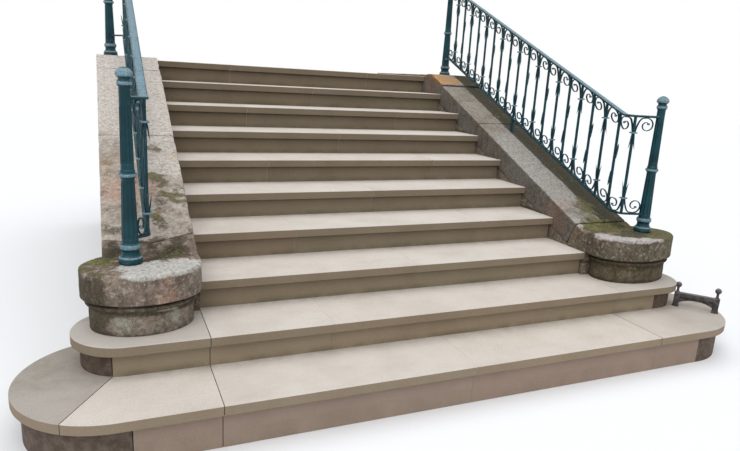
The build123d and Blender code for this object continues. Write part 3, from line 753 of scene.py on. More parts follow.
def scroll_line(stretch, steps=60):
    """A scroll's distances from its bar and off the rail: a fall from the bar's plate, then a curl.

    The fall is a cubic of its share, and the curl's radius shrinks evenly with its turn.
    """
    curl_u, curl_v = 0.080, 0.052
    radius, last_share = 0.050, 0.30
    start, turn = math.radians(-110), math.radians(430)
    first_u = 0.008
    low_u = curl_u + radius * math.cos(start)
    low_v = curl_v + radius * math.sin(start)
    share = np.linspace(0, 1, 14, endpoint=False)
    fall_u = first_u + (low_u - first_u) * share
    fall_v = low_v + (plate_height - low_v) * (1 - share) ** 3
    share = np.linspace(0, 1, steps)
    angle = start + turn * share
    reach = radius * (1 - (1 - last_share) * share)
    u = np.concatenate([fall_u, curl_u + reach * np.cos(angle)])
    v = np.concatenate([fall_v, curl_v + reach * np.sin(angle)])
    return u * stretch, v


def scroll(piece, side, y, toward, base, way, stretch=1.0):
    """A flat strip carried along the scroll's line, thinning to a small round eye.

    It starts at the bar at y and runs toward a direction in plan. Base is its rail's line, and way
    is 1 above that and -1 below.
    """
    u, v = scroll_line(stretch)
    rail_x = outside(side, rail_offset[side])
    along = y + toward[1] * u
    path = np.stack([rail_x + toward[0] * u, along, base(along) + way * (v - 0.001)], axis=1)
    across = (toward[1], -toward[0], 0)
    share = np.linspace(0, 1, len(u))
    ring = rounded_ring(scroll_width, scroll_thickness, 0.0018, 2, 0, 3)
    # Scrolls are marked worn, more at the curl's end: wear and painted highlight
    rubbed_and_sheen = 0.45 + 0.4 * smooth_step(share, 0.7, 1)[:, None]
    piece.add(carried(path, ring, across, 1 - 0.25 * share), worn=rubbed_and_sheen)
    side_steps = np.array(across) * np.array([-0.0072, -0.006, 0.006, 0.0072])[:, None]
    ring = oval_ring(scroll_eye_radius, scroll_eye_radius, 14)
    piece.add(carried(path[-1] + side_steps, ring, (0, 0, 1), [0.75, 1, 1, 0.75]), worn=0.9)


def standing(x, y, heights):
    """A path of points one above another."""
    return np.column_stack([np.full(len(heights), x), np.full(len(heights), y), heights])


def bar(piece, x, y, low, high):
    """A square bar with softened edges, standing between two heights."""
    ring = rounded_ring(bar_size, bar_size, 0.0022, 0, 0, 3)
    piece.add(carried(standing(x, y, np.linspace(low, high, 14)), ring, (1, 0, 0)), worn=0.15)


def collar(piece, x, y, z):
    """A cushion-shaped plate on a small round bead, threaded on a bar: heights and shares of its size."""
    rows = np.array([(-0.013, 0.24), (-0.011, 0.30), (-0.008, 0.34), (-0.0058, 0.36), (-0.005, 0.80),
                     (-0.003, 0.94), (0.0, 1.0), (0.003, 0.96), (0.005, 0.82), (0.0058, 0.34),
                     (0.010, 0.30), (0.013, 0.24)])
    ring = rounded_ring(plate_size, plate_size, 0.010, 2, 2, 5)
    # The plate's widest part is marked worn: wear and painted highlight
    rubbed_and_sheen = np.clip(rows[:, 1:] * 1.4 - 0.3, 0, 1)
    piece.add(carried(standing(x, y, z + rows[:, 0]), ring, (1, 0, 0), rows[:, 1]), worn=rubbed_and_sheen)


def between(base, tip, share):
    """Points on the straight line from base to tip."""
    return np.asarray(base)[None] * (1 - share[:, None]) + np.asarray(tip)[None] * share[:, None]


def leaf(piece, base, tip, bend):
    """A pointed blade: its size follows a sine arch from its shoulder to its end, and bend bows it."""
    share = np.linspace(0, 1, 16)
    path = between(base, tip, share)
    path[:, 1] += bend * np.sin(math.pi * share)
    size = np.maximum(np.sin(math.pi * np.clip(share * 0.72 + 0.28, 0, 1)) ** 0.8, 0.05)
    ring = oval_ring(leaf_thickness / 2, leaf_width / 2, 10)
    piece.add(carried(path, ring, (1, 0, 0), size), worn=0.35 + 0.3 * share[:, None])


def dart(piece, base, tip):
    """A flat blade with a blunt foot and a slanting tip: shares of its length, and its size at each."""
    share = np.array([0, 0.01, 0.06, 0.25, 0.5, 0.72, 0.86, 0.97, 1.0])
    size = np.array([0.5, 0.75, 0.92, 1.0, 1.0, 0.95, 0.66, 0.24, 0.12])
    ring = rounded_ring(dart_thickness, dart_width, 0.0016, 0, 2, 3)
    piece.add(carried(between(base, tip, share), ring, (1, 0, 0), size), worn=0.55)


def collar_leaves(piece, x, y, z, way):
    """Blades round a bar beside its plate, their tips clear of it: two in the railing's plane, two across."""
    for direction in (-1, 1):
        near_y = y + direction * (bar_size / 2 + 0.002)
        tip = (x, near_y + direction * leaf_spread, z + way * leaf_length)
        leaf(piece, (x, near_y, z), tip, -direction * leaf_bow)
        near_x = x + direction * (bar_size / 2 + 0.001)
        tip = (near_x + direction * cross_leaf_spread, y, z + way * cross_leaf_length)
        leaf(piece, (near_x, y, z), tip, 0)


def bar_darts(piece, x, y, low, high):
    """Two darts on a short bar, at shares of its height: one points down behind it, one up before it."""
    for direction, share, way in ((1, 0.38, -1), (-1, 0.52, 1)):
        base = low + (high - low) * share
        near_y = y + direction * (bar_size / 2 + 0.003)
        dart(piece, (x, near_y, base), (x, near_y + direction * dart_spread, base + way * dart_length))


def rail_foot(piece, x, y, low, high):
    """A small flared foot that carries the bottom rail on the coping."""
    path = standing(x, y, np.linspace(low, high, 5))
    ring = rounded_ring(0.022, 0.030, 0.003, 0, 0, 3)
    piece.add(carried(path, ring, (1, 0, 0), [1.2, 1.05, 0.95, 0.95, 1.05]), worn=0.3)


def balustrade(side, finish):
    """All the bars, collars, scrolls and leaves of one side, on the bottom rail and its one foot."""
    piece = Piece(f"ironwork_{side}")
    rail_x = outside(side, rail_offset[side])
    foot = rail_line(bottom_rail_height)
    head = rail_line(rail_height - rail_thickness)
    path = softened(rail_points(side, bottom_rail_height - bottom_rail_thickness / 2), 0.03, 0.012)
    piece.add(carried(path, rounded_ring(bottom_rail_width, bottom_rail_thickness, 0.002, 1, 0, 3)), worn=0.4)
    long_bars = first_bar_y + np.arange(long_bar_count) * bar_spacing
    short_bars = long_bars[:-1] + bar_spacing / 2
    for y in np.concatenate([long_bars, short_bars]):
        bar(piece, rail_x, y, foot(y) - into_rail, head(y) + into_handrail)
    for y in long_bars:
        low = foot(y) + plate_height
        high = head(y) - plate_height
        collar(piece, rail_x, y, low)
        collar(piece, rail_x, y, high)
        collar_leaves(piece, rail_x, y, low + leaf_start, 1)
        collar_leaves(piece, rail_x, y, high - leaf_start, -1)
        for direction in (1,) if y == long_bars[0] else (-1, 1):
            scroll(piece, side, y, (0, direction), foot, 1)
            scroll(piece, side, y, (0, direction), head, -1)
    post_x = outside(side, newel_offset["lower"][side])
    toward = unit(np.array([post_x - rail_x, newel_y["lower"] - first_bar_y]))
    for base, way in ((foot, 1), (head, -1)):
        scroll(piece, side, first_bar_y, toward, base, way, newel_scroll_stretch[side])
    for y in short_bars:
        bar_darts(piece, rail_x, y, foot(y), head(y))
    y = long_bars[foot_bar]
    rail_foot(piece, rail_x, y, coping_top(y) - into_coping, foot(y) - into_rail)
    piece.build(finish, "painted_iron", f"balustrade_{side}", crease=50)


def scraper_post(piece, x, y, along):
    """A square post, waisted a little, with a ball on a thin neck above: a profile of radii and heights."""
    top = first_tread_z + scraper_height
    path = standing(x, y, np.linspace(first_tread_z, top - scraper_beam_height / 2, 9))
    ring = rounded_ring(scraper_post_size, scraper_post_size, 0.006, 2, 2, 3)
    grid = carried(path, ring, (*along, 0), [1.12, 1.04, 0.97, 0.94, 0.93, 0.93, 0.94, 0.95, 0.95])
    piece.add(worn(grid, 0.002, 0.02, 5), worn=0.4)
    neck = [(0.016, -0.002), (0.014, 0.003), (0.010, 0.009), (0.0085, 0.018), (0.0085, 0.028)]
    turn = np.linspace(-1.15, math.pi / 2 - 0.02, 14)
    ball = np.column_stack([scraper_ball_radius * np.cos(turn),
                            scraper_ball_height + scraper_ball_radius * np.sin(turn)])
    radii, heights = np.concatenate([neck, ball]).T[..., None]
    angle = np.linspace(0, 2 * math.pi, 28, endpoint=False)
    grid = np.stack([x + radii * np.cos(angle), y + radii * np.sin(angle),
                     np.broadcast_to(top + heights, (len(heights), 28))], axis=-1)
    piece.add(worn(grid, 0.0015, 0.015, 7), worn=0.6)


def scraper_plate(piece, ends, across):
    """The upright plate between the posts, its lower edge cut to an arch that is part of an oval."""
    ring = rounded_ring(1, 1, 0.12, 1, 3, 3)
    share = np.linspace(0, 1, 40)
    span = (share - 0.5) * 2
    arch = scraper_arch_height * np.sqrt(np.clip(1 - (span * 1.08) ** 2, 0, 1))
    low = first_tread_z + scraper_arch_foot + arch
    high = np.full(40, first_tread_z + scraper_height - scraper_beam_height * 0.7)
    place = ends[0] + (ends[1] - ends[0]) * share[:, None]
    x = place[:, None, 0] + ring[None, :, 0] * scraper_plate_thickness * across[0]
    y = place[:, None, 1] + ring[None, :, 0] * scraper_plate_thickness * across[1]
    z = (low + high)[:, None] / 2 + ring[None, :, 1] * (high - low)[:, None]
    piece.add(worn(np.stack([x, y, z], axis=-1), 0.001, 0.02, 9), worn=0.4)


def boot_scraper(finish):
    """Two posts with balls, a flat beam that joins their tops, and an arched plate below it."""
    piece = Piece("scraper")
    ends = np.array([(inner_x["right"] + out, front_y + back) for out, back in scraper_places])
    along = unit(ends[1] - ends[0])
    for x, y in ends:
        scraper_post(piece, x, y, along)
    reach = scraper_post_size * 0.46
    middle_z = first_tread_z + scraper_height - scraper_beam_height / 2
    path = np.column_stack([np.linspace(ends[0] - along * reach, ends[1] + along * reach, 24),
                            np.full(24, middle_z)])
    grid = carried(path, rounded_ring(scraper_beam_width, scraper_beam_height, 0.005, 3, 3, 3))
    piece.add(worn(grid, 0.002, 0.02, 11), worn=0.5)
    scraper_plate(piece, ends, (along[1], -along[0]))
    piece.build(finish, "raw_iron", "boot_scraper", crease=50)


# Finishes

def tone(red, green, blue):
    """A screen colour of 0 to 255 as the linear colour that a shader takes."""
    shares = [channel / 255 for channel in (red, green, blue)]
    linear = [share / 12.92 if share <= 0.04045 else ((share + 0.055) / 1.055) ** 2.4 for share in shares]
    return (*linear, 1.0)


class Socket:
    """A node's output that takes part in arithmetic: each operator adds a Math node."""

    def __init__(self, nodes, socket):
        self.nodes = nodes
        self.socket = socket

    def math(self, operation, *others):
        """A Math node's result, with this number as its first value."""
        values = dict(enumerate((self, *others)))
        return self.nodes.node("ShaderNodeMath", {"operation": operation}, values)

    def __add__(self, other):
        return self.math("ADD", other)

    def __radd__(self, other):
        return self.math("ADD", other)

    def __sub__(self, other):
        return self.math("SUBTRACT", other)

    def __rsub__(self, other):
        return self.nodes.node("ShaderNodeMath", {"operation": "SUBTRACT"}, {0: other, 1: self})

    def __mul__(self, other):
        return self.math("MULTIPLY", other)

    def __rmul__(self, other):
        return self.math("MULTIPLY", other)

    def __truediv__(self, other):
        return self.math("DIVIDE", other)

    def step(self, low, high):
        """0 below low, 1 above high, smooth between."""
        return self.nodes.node("ShaderNodeMapRange", {"interpolation_type": "SMOOTHSTEP"},
                               {"Value": self, "From Min": low, "From Max": high})


class Nodes:
    """The shader nodes of one finish or of the sky, added one by one."""

    def __init__(self, tree):
        self.tree = tree

    def node(self, kind, settings=None, inputs=None, output=0):
        """A node of a kind, its settings first, then its sockets' values or links."""
        made = self.tree.nodes.new(kind)
        for name, value in (settings or {}).items():
            setattr(made, name, value)
        for key, value in (inputs or {}).items():
            self.put(made.inputs[key], value)
        return Socket(self, made.outputs[output])

    def put(self, target, value):
        """A value or a link goes into a socket."""
        if isinstance(value, Socket):
            self.tree.links.new(value.socket, target)
        else:
            target.default_value = value


class Finish(Nodes):
    """A material being made, with the patterns and mixtures that it is made of."""

    def __init__(self, name):
        self.material = bpy.data.materials.new(name)
        self.material.use_nodes = True
        super().__init__(self.material.node_tree)
        self.shader = self.tree.nodes["Principled BSDF"]
        self.place = self.node("ShaderNodeTexCoord", output="Object")

    def noise(self, size, detail, roughness=0.55, stretch=None, distortion=0.0, at=None):
        """Cloudy noise of 0 to 1 whose lumps are about size metres across."""
        at = at or self.place
        if stretch:
            at = self.node("ShaderNodeMapping", inputs={"Vector": at, "Scale": stretch})
        return self.node("ShaderNodeTexNoise", inputs={"Vector": at, "Scale": 1 / size, "Detail": detail,
                                                       "Roughness": roughness, "Distortion": distortion})

    def spots(self, size):
        """Distance from the nearest of scattered points, which lie about size metres apart."""
        return self.node("ShaderNodeTexVoronoi", inputs={"Vector": self.place, "Scale": 1 / size})

    def field(self, name):
        """A number that the mesh carries for each of its points."""
        return self.node("ShaderNodeAttribute", {"attribute_name": name}, output="Fac")

    def blend(self, factor, first, second, way="MIX"):
        """Two colours mixed by a factor."""
        return self.node("ShaderNodeMix", {"data_type": "RGBA", "blend_type": way},
                         {0: factor, 6: first, 7: second}, output=2)

    def layered(self, colour, *layers):
        """A colour with others laid over it in turn, each by its own factor."""
        for factor, over in layers:
            colour = self.blend(factor, colour, over)
        return colour

    def axis(self, letter, of=None):
        """One coordinate of a vector."""
        return self.node("ShaderNodeSeparateXYZ", inputs={0: of or self.place}, output=letter)

    def facing_up(self):
        """The surface's own slope: 1 where it looks up, 0 where it is upright."""
        normal = self.node("ShaderNodeNewGeometry", output="True Normal")
        return self.axis("Z", normal)

    def bump(self, height, distance, strength, normal=None):
        """Relief of a height field, distance metres deep."""
        inputs = {"Height": height, "Distance": distance, "Strength": strength}
        if normal:
            inputs["Normal"] = normal
        return self.node("ShaderNodeBump", inputs=inputs, output="Normal")

    def finish(self, colour, roughness, normal, **plain):
        """Links colour, roughness and relief, and sets the shader's plain values."""
        for key, value in (("Base Color", colour), ("Roughness", roughness), ("Normal", normal)):
            if value is not None:
                self.put(self.shader.inputs[key], value)
        for key, value in plain.items():
            self.put(self.shader.inputs[key.replace("_", " ")], value)
        return self.material


def slab_lot(f, x, level):
    """A random tint for each slab of a step, and the place shifted by a lot of the slab's own."""
    odd = (level * 0.5).math("FRACT") * 2
    ends = x.math("GREATER_THAN", -half_width) + x.math("GREATER_THAN", half_width)
    halves = x.math("GREATER_THAN", 0.0)
    quarters = x.math("GREATER_THAN", -quarter_joint) + x.math("GREATER_THAN", quarter_joint)
    stone = ends + halves * (1 - odd) + quarters * odd
    cell = f.node("ShaderNodeCombineXYZ", inputs={0: stone, 1: level, 2: 3.7})
    lot = f.node("ShaderNodeTexWhiteNoise", {"noise_dimensions": "3D"}, {"Vector": cell}, output="Color")
    tint = f.node("ShaderNodeTexWhiteNoise", {"noise_dimensions": "3D"}, {"Vector": cell}, output="Value")
    shift = f.node("ShaderNodeVectorMath", {"operation": "MULTIPLY_ADD"}, {0: lot, 1: (5, 5, 5), 2: f.place})
    return tint, shift


def sawn_face(f, up, tint, shift, top, side):
    """A sawn face's colour before dirt and shade, and its grain, clouds and bedding streaks."""
    grain = f.noise(0.0035, 3, 0.7, at=shift)
    cloud = f.noise(0.28, 5, 0.6, at=shift)
    streak = f.noise(0.09, 4, 0.6, stretch=(0.35, 1.0, 6.0), at=shift)
    stain = f.noise(0.5, 6, 0.65, at=shift, distortion=0.4)
    speck = f.noise(0.010, 3, at=shift)
    other_side = tone(side[0] + 8, side[1] - 4, side[2] - 4)
    other_top = tone(top[0] - 12, top[1] - 20, top[2] - 26)
    # Upright faces take the darker side tone: partly the stone's own tone, partly painted shade
    base = f.blend(up, tone(*side), tone(*top))
    base = f.blend(tint * 0.3, base, f.blend(up, other_side, other_top))
    base = f.blend(cloud.step(0.35, 0.72) * 0.18, base, tone(176, 162, 142), "MULTIPLY")
    base = f.layered(
        base,
        (streak.step(0.5, 0.75) * 0.08, tone(120, 100, 78)),
        (stain.step(0.54, 0.74) * 0.14, tone(118, 106, 88)),
        (grain.step(0.38, 0.72) * 0.18 * (0.3 + 0.7 * up), tone(222, 214, 202)),
        (grain.step(0.60, 0.34) * 0.18, tone(96, 86, 70)),
        (speck.step(0.66, 0.74) * 0.25, tone(88, 76, 60)),
    )
    return base, grain, cloud, streak


def sawn_stone(name, top, side, fade=None, old_end=None):
    """New sandstone: a tint for each slab, faint bedding, fine grain, and dirt with painted shade where the
    treads meet risers.

    Fade is the brightness that upright faces keep at the highest step, how much more they have at the
    lowest, and the share of it left one step up. Old end is the colour of the older stones of the risers.
    """
    f = Finish(name)
    x = f.axis("X") - middle_x
    y = f.axis("Y") - front_y
    z = f.axis("Z") - (first_tread_z - riser_height + 0.001)
    level = (z / riser_height).math("FLOOR").math("MAXIMUM", 0.0)
    fraction = (z / riser_height).math("MAXIMUM", 0.0).math("FRACT")
    left, right = x.math("LESS_THAN", -half_width), x.math("GREATER_THAN", half_width)
    first, lowest_two = level.math("LESS_THAN", 0.5), level.math("LESS_THAN", 1.5)
    up = f.facing_up().step(0.3, 0.8)
    base, grain, cloud, streak = sawn_face(f, up, *slab_lot(f, x, level), top, side)
    # The two lowest treads darken past the walls' ends: dirt and painted shade
    slant = (x - y * slant_joint_run).math("LESS_THAN", -half_width - slant_joint_start)
    far_right = 0.06 * right + 0.18 * (x - half_width).step(0.05, 0.55)
    shade = 1 - up * (far_right + 0.18 * left * (1 - first) + 0.36 * slant * first) * lowest_two
    if fade:
        share = f.node("ShaderNodeMath", {"operation": "POWER"}, {0: fade[2], 1: level})
        shade = shade * (up + (1 - up) * (fade[0] + fade[1] * share))
    base = f.blend(1.0, base, shade, "MULTIPLY")
    depth = y - level * going
    # Dirt and painted shade at the back of each tread, in the corner under the next nosing
    back = depth.step(going - 0.06, going + nosing) * (0.3 + f.noise(0.06, 4).step(0.3, 0.7)) * up
    foot = (1 - fraction.step(0.0, 0.25)) * (1 - up)
    damp = foot * f.noise(0.12, 4, stretch=(1, 1, 0.4)).step(0.32, 0.68)
    base = f.layered(
        base,
        (back * level.math("LESS_THAN", step_count - 1.5) * 0.22, tone(104, 96, 78)),
        (damp * (0.45 - 0.28 * first), tone(78, 80, 52)),
    )
    if old_end:
        second_start = second_old_start["left"] * left + second_old_start["right"] * right
        start = first * first_old_start + (1 - first) * second_start
        past = x.math("ABSOLUTE") - half_width - start
        old = past.math("GREATER_THAN", 0.0) * (left + right) * lowest_two
        rough = f.noise(0.05, 5, 0.7).step(0.36, 0.66)
        old_tone = f.blend(rough, tone(*old_end), tone(*(channel + 26 for channel in old_end)))
        old_tone = f.blend(grain.step(0.60, 0.36) * 0.4, old_tone, tone(50, 42, 34))
        # Painted shadow: a dark band at the top of every riser, just under the nosing
        painted_shade_below = fraction.step(0.55, 0.685) * (1 - up) * (0.75 + 0.25 * f.noise(0.05, 3).step(0.35, 0.65))
        base = f.layered(base, (old, old_tone), (painted_shade_below * 0.76, tone(44, 38, 30)))
    relief = f.bump(grain, 0.0006, 0.5)
    relief = f.bump(streak * 0.6 + cloud * 0.4, 0.0012, 0.35, relief)
    return f.finish(base, 0.72 + 0.2 * cloud, relief, Specular_IOR_Level=0.25)


def course_joints(f, cloud):
    """1 in the joints of coursed stone: level ones, and upright ones that shift by half in each course."""
    y, z = f.axis("Y") - front_y, f.axis("Z") + cloud * 0.02
    course = z / course_height
    along = (y + cloud * 0.02) / stone_length + (course.math("FLOOR") * 0.5).math("FRACT")
    level_joint = ((course.math("FRACT") - 0.5).math("ABSOLUTE") - 0.5) * -course_height
    upright_joint = ((along.math("FRACT") - 0.5).math("ABSOLUTE") - 0.5) * -stone_length
    return 1 - level_joint.math("MINIMUM", upright_joint).step(0.002, 0.009)


def old_stone(name, base_tone, dark_tone, pale_tone, crust_tone=(206, 203, 196), painted_upright_light=1.0, coursed=False):
    """Weathered sandstone: clouds, grit and streaks, under crust, soil with painted shade, moss and orange
    lichen from the mesh.

    Upright faces keep a share of the brightness of level ones, given as an argument: a painted shade.
    """
    f = Finish(name)
    up = f.facing_up().step(0.35, 0.85)
    edge = f.field("edge")
    patch = f.field("patch") * 0.5 + 0.5
    cloud = f.noise(0.20, 5, 0.6)
    blotch = f.noise(0.06, 5, 0.65)
    fine = f.noise(0.014, 4, 0.7)
    grit = f.noise(0.0038, 3, 0.75)
    streak = f.noise(0.035, 4, 0.6, stretch=(1, 1, 0.16))
    speck = f.noise(0.022, 3, 0.7)
    pits = f.spots(0.013).step(0.12, 0.26)
    mottle = (grit * 0.22 + fine * 0.33 + blotch * 0.45 - 0.5) * 2.1 + 0.5
    dark, pale = tone(*dark_tone), tone(*pale_tone)
    colour = f.layered(
        tone(*base_tone),
        (cloud.step(0.36, 0.64), pale),
        (blotch.step(0.50, 0.70) * 0.45, dark),
        ((patch * 0.6 + cloud * 0.4).step(0.56, 0.82) * 0.6, tone(178, 138, 118)),
        (streak.step(0.50, 0.66) * (1 - up) * 0.30, pale),
        (streak.step(0.50, 0.36) * (1 - up) * 0.30, dark),
        (fine.step(0.50, 0.66) * 0.45, dark),
        (grit.step(0.58, 0.36) * 0.30, tone(72, 62, 50)),
        (grit.step(0.56, 0.72) * 0.30, tone(200, 194, 182)),
        ((1 - pits) * f.noise(0.06, 3).step(0.45, 0.60) * 0.5, tone(62, 52, 42)),
    )
    # The soil field holds painted shade as well as soil, so its dark tones paint both
    soil = (f.field("soil") * 0.60 + mottle).step(0.70, 1.00)
    crust = (f.field("crust") * 0.60 + mottle + edge * 0.04).step(0.80, 0.98)
    moss = (f.field("moss") * 0.60 + mottle).step(0.80, 1.00)
    lichen = (f.field("orange") * 0.60 + mottle).step(0.76, 1.02)
    soil_and_shade_tone = f.blend(fine.step(0.38, 0.62), tone(42, 40, 30), tone(84, 75, 58))
    crust_colour = f.layered(
        tone(*(channel - 34 for channel in crust_tone)),
        (fine.step(0.62, 0.42), tone(*crust_tone)),
        (grit.step(0.56, 0.36) * 0.35, tone(128, 120, 104)),
    )
    green = f.layered(
        tone(62, 60, 34),
        (fine.step(0.36, 0.62), tone(126, 126, 78)),
        (grit.step(0.52, 0.70) * 0.4, tone(152, 150, 112)),
        (cloud.step(0.42, 0.60) * 0.6, tone(84, 74, 54)),
    )
    orange = f.blend(fine.step(0.4, 0.6), tone(150, 100, 52), tone(196, 158, 104))
    colour = f.layered(
        colour,
        (soil * 0.85, soil_and_shade_tone),
        # Near-black where soil and painted shade are strongest
        (f.field("soil").step(0.95, 1.25) * 0.55, tone(34, 35, 26)),
        (crust * 0.85, crust_colour),
        (speck.step(0.50, 0.66) * 0.42, dark),
        (speck.step(0.46, 0.34) * 0.24 * (1 - soil * 0.75), tone(*(channel + 18 for channel in crust_tone))),
        (moss * 0.85, green),
        (lichen * 0.7, orange),
    )
    # Painted shade: upright faces kept darker than level ones
    if painted_upright_light < 1:
        colour = f.blend(1.0, colour, up + (1 - up) * painted_upright_light, "MULTIPLY")
    height = cloud * 0.2 + blotch * 0.35 + fine * 0.35 + pits * 0.25
    relief = f.bump(height, 0.006, 0.55)
    relief = f.bump(grit, 0.0014, 0.55, relief)
    relief = f.bump(moss * (0.5 + fine), 0.005, 0.6, relief)
    if coursed:
        joint = course_joints(f, cloud)
        colour = f.blend(joint * 0.6, colour, dark)
        relief = f.bump(1 - joint, 0.008, 0.8, relief)
    return f.finish(colour, 0.82 + 0.14 * fine, relief, Specular_IOR_Level=0.2)


def painted_iron():
    """Gloss blue-green paint with dust, worn to pale blue-grey where the mesh says it is rubbed, which also
    paints sky highlights.
    """
    f = Finish("painted_iron_gloss")
    rubbed_and_sheen = f.field("worn")
    up = f.facing_up().step(0.2, 0.9)
    broad = f.noise(0.12, 5, 0.6)
    small = f.noise(0.010, 5, 0.7)
    tiny = f.noise(0.002, 3, 0.7)
    wear = (rubbed_and_sheen * 0.55 + small * 0.75 + broad * 0.25 - 0.62).step(0.16, 0.40)
    dust = up * f.noise(0.02, 4, 0.7).step(0.45, 0.68)
    rust = (f.noise(0.035, 5, 0.7) + rubbed_and_sheen * 0.05).step(0.68, 0.76)
    paint = f.layered(
        tone(7, 48, 56),
        (broad.step(0.38, 0.62), tone(12, 63, 72)),
        (small.step(0.55, 0.75) * 0.35, tone(20, 66, 74)),
        # Pale blue-grey and near-white worn tones: real wear and painted sky highlight
        (wear * 0.7, tone(110, 144, 160)),
        (wear * f.noise(0.006, 3, 0.7).step(0.45, 0.62) * 0.5, tone(176, 188, 196)),
        (dust * 0.25, tone(120, 134, 136)),
        (rust * 0.6, tone(84, 56, 38)),
    )
    rough = 0.28 + 0.30 * wear + 0.25 * dust + 0.1 * broad
    relief = f.bump(small * 0.7 + tiny * 0.3, 0.0006, 0.5)
    return f.finish(paint, rough, relief, Specular_IOR_Level=0.24)


def raw_iron():
    """Rough cast iron, dark purple-grey with pale speckles and dust on top."""
    f = Finish("raw_iron_rough")
    up = f.facing_up().step(0.2, 0.9)
    broad = f.noise(0.03, 5, 0.65)
    small = f.noise(0.006, 5, 0.7)
    colour = f.layered(
        tone(60, 57, 58),
        (broad.step(0.38, 0.62), tone(94, 90, 90)),
        (small.step(0.5, 0.7) * 0.5, tone(74, 60, 52)),
        (up * small.step(0.40, 0.58) * 0.6, tone(150, 147, 144)),
        (f.noise(0.004, 3, 0.7).step(0.60, 0.72) * 0.5, tone(140, 132, 130)),
    )
    relief = f.bump(small * 0.6 + broad * 0.4, 0.0015, 0.7)
    return f.finish(colour, 0.7 + 0.2 * small, relief, Metallic=0.3)


def dress(node, finish):
    """A piece of the frame takes a finish in place of its plain one."""
    slots = frame["nodes"][node].data.materials
    if len(slots):
        for k in range(len(slots)):
            slots[k] = finish
    else:
        slots.append(finish)


# Sawn stone and pointing by the tones of their level and upright faces, the upright ones darker partly as
# painted shade, then the walls and the iron
tread_finish = sawn_stone("sawn_tread_stone", (209, 203, 197), (134, 121, 102), fade=(0.70, 0.42, 0.80))
riser_finish = sawn_stone("sawn_riser_stone", (188, 178, 162), (132, 120, 101),
                          fade=(0.88, 0.80, 0.6), old_end=(84, 70, 60))
bottom_finish = sawn_stone("bottom_riser_stone", (168, 152, 140), (154, 136, 123), old_end=(86, 73, 63))
lime_finish = sawn_stone("lime_pointing", (218, 211, 202), (150, 140, 125))
joint_finish = sawn_stone("sunk_pointing", (128, 118, 104), (96, 86, 72))
wall_finish = old_stone("old_wall_stone", (112, 98, 84), (66, 56, 46), (134, 122, 106), coursed=True)
iron_finish = painted_iron()
scraper_finish = raw_iron()

# Old stones' base, dark, pale and crust tones, and the brightness that their upright faces keep as painted
# shade; the right side's darker tones are partly painted shade
old_tones = {
    ("coping", "left"): ((164, 153, 141), (110, 100, 88), (188, 178, 170), (218, 212, 206), 1.0),
    ("coping", "right"): ((138, 130, 118), (86, 78, 66), (158, 152, 145), (170, 167, 164), 0.55),
    ("cap", "left"): ((114, 99, 90), (72, 60, 52), (150, 137, 124), (208, 207, 203), 1.0),
    ("cap", "right"): ((92, 83, 70), (56, 50, 40), (116, 108, 92), (204, 198, 196), 1.0),
    ("drum", "left"): ((116, 105, 95), (66, 57, 48), (142, 132, 120), (176, 176, 164), 1.0),
    ("drum", "right"): ((80, 71, 57), (48, 42, 33), (102, 94, 76), (130, 126, 108), 1.0),
}
old_finishes = {(stone, side): old_stone(f"old_{stone}_stone_{side}", *tones)
                for (stone, side), tones in old_tones.items()}

# The steps, the walls and the inner masonry keep the frame's own pieces
for step in range(1, step_count):
    dress(f"tread_{step}", tread_finish)
for step in range(1, step_count + 1):
    dress(f"riser_{step}", bottom_finish if step == 1 else riser_finish)
for node in ("landing_edge", "landing_paving"):
    dress(node, tread_finish)
for node in ("stair_core", "wing_wall_left", "wing_wall_right"):
    dress(node, wall_finish)

for number, side in enumerate(SIDES):
    seed = 40 * (number + 1)
    cap_stone(side, old_finishes["cap", side], seed)
    drum_base(side, old_finishes["drum", side], seed + 7)
    copings(side, old_finishes["coping", side], seed + 11)
    for place in ("lower", "upper"):
        newel(side, place, iron_finish)
    handrail(side, iron_finish)
    balustrade(side, iron_finish)
boot_scraper(scraper_finish)
mortar(lime_finish, joint_finish)


# Floor, light and camera

def plain_floor():
    """A wide pale floor at height 0 that fades into the pale background."""
    mesh = bpy.data.meshes.new("floor")
    reach = 40.0
    corners = [(-reach, -reach, 0), (reach, -reach, 0), (reach, reach, 0), (-reach, reach, 0)]
    mesh.from_pydata(corners, [], [(0, 1, 2, 3)])
    floor = bpy.data.objects.new("floor", mesh)
    bpy.context.scene.collection.objects.link(floor)
    f = Finish("pale_floor")
    f.finish(tone(233, 235, 239), 0.9, None, Specular_IOR_Level=0.1)
    mesh.materials.append(f.material)


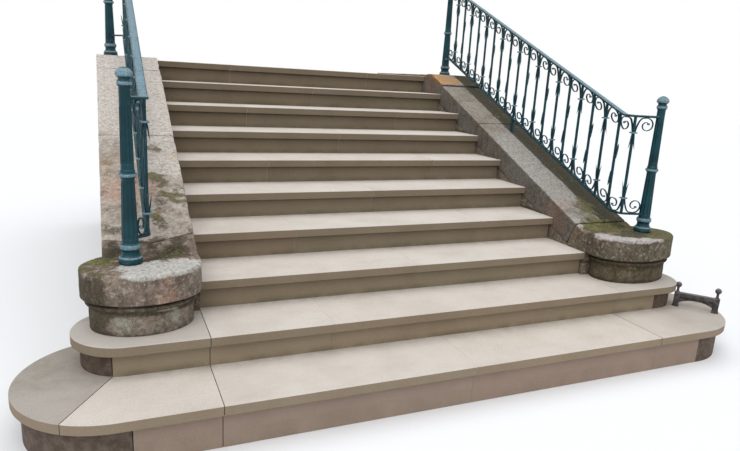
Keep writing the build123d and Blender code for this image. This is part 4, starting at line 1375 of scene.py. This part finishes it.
def soft_sun(name, height, turn, power, width, colour):
    """A sun with a wide soft disc, a height above the horizon and a turn from the front in degrees."""
    data = bpy.data.lights.new(name, "SUN")
    data.energy = power
    data.angle = math.radians(width)
    data.color = colour
    made = bpy.data.objects.new(name, data)
    bpy.context.scene.collection.objects.link(made)
    made.rotation_euler = (math.radians(90 - height), 0, math.radians(turn))


def camera():
    """The camera of the photograph, solved from the steps' corners."""
    place = Vector((-1.6638, -4.5929, 1.6113))
    yaw, pitch, roll = 0.4131, -0.2354, 0.0561
    ahead = Vector((math.sin(yaw) * math.cos(pitch), math.cos(yaw) * math.cos(pitch), math.sin(pitch)))
    level = Vector((math.cos(yaw), -math.sin(yaw), 0))
    above = level.cross(ahead)
    right = math.cos(roll) * level + math.sin(roll) * above
    up = math.cos(roll) * above - math.sin(roll) * level
    data = bpy.data.cameras.new("camera")
    data.sensor_width = 36.0
    data.lens = 29.776
    data.clip_end = 200
    made = bpy.data.objects.new("camera", data)
    bpy.context.scene.collection.objects.link(made)
    turn = Matrix((right, up, -ahead)).transposed()
    made.matrix_world = Matrix.Translation(place) @ turn.to_4x4()
    bpy.context.scene.camera = made


def world():
    """An even sky for light, seen as plain white by the camera, in reflections and through glass."""
    sky = bpy.data.worlds.new("sky")
    sky.use_nodes = True
    nodes = Nodes(sky.node_tree)
    light = nodes.tree.nodes["Background"]
    nodes.put(light.inputs["Color"], (0.92, 0.96, 1.0, 1))
    nodes.put(light.inputs["Strength"], 0.35)
    white = nodes.node("ShaderNodeBackground", inputs={"Color": (1, 1, 1, 1)})
    seen = nodes.node("ShaderNodeLightPath", output="Is Camera Ray")
    for kind in ("Is Glossy Ray", "Is Transmission Ray"):
        ray = nodes.node("ShaderNodeLightPath", output=kind)
        seen = nodes.node("ShaderNodeMath", {"use_clamp": True}, {0: seen, 1: ray})
    mixed = nodes.node("ShaderNodeMixShader", inputs={0: seen, 1: Socket(nodes, light.outputs[0]), 2: white})
    nodes.put(nodes.tree.nodes["World Output"].inputs[0], mixed)
    bpy.context.scene.world = sky


bpy.context.scene.view_settings.view_transform = "Standard"
plain_floor()
world()
camera()
soft_sun("zenith", 82, -20, 2.2, 90, (1.0, 0.99, 0.97))
soft_sun("front_left", 45, -35, 0.9, 60, (1.0, 0.98, 0.95))
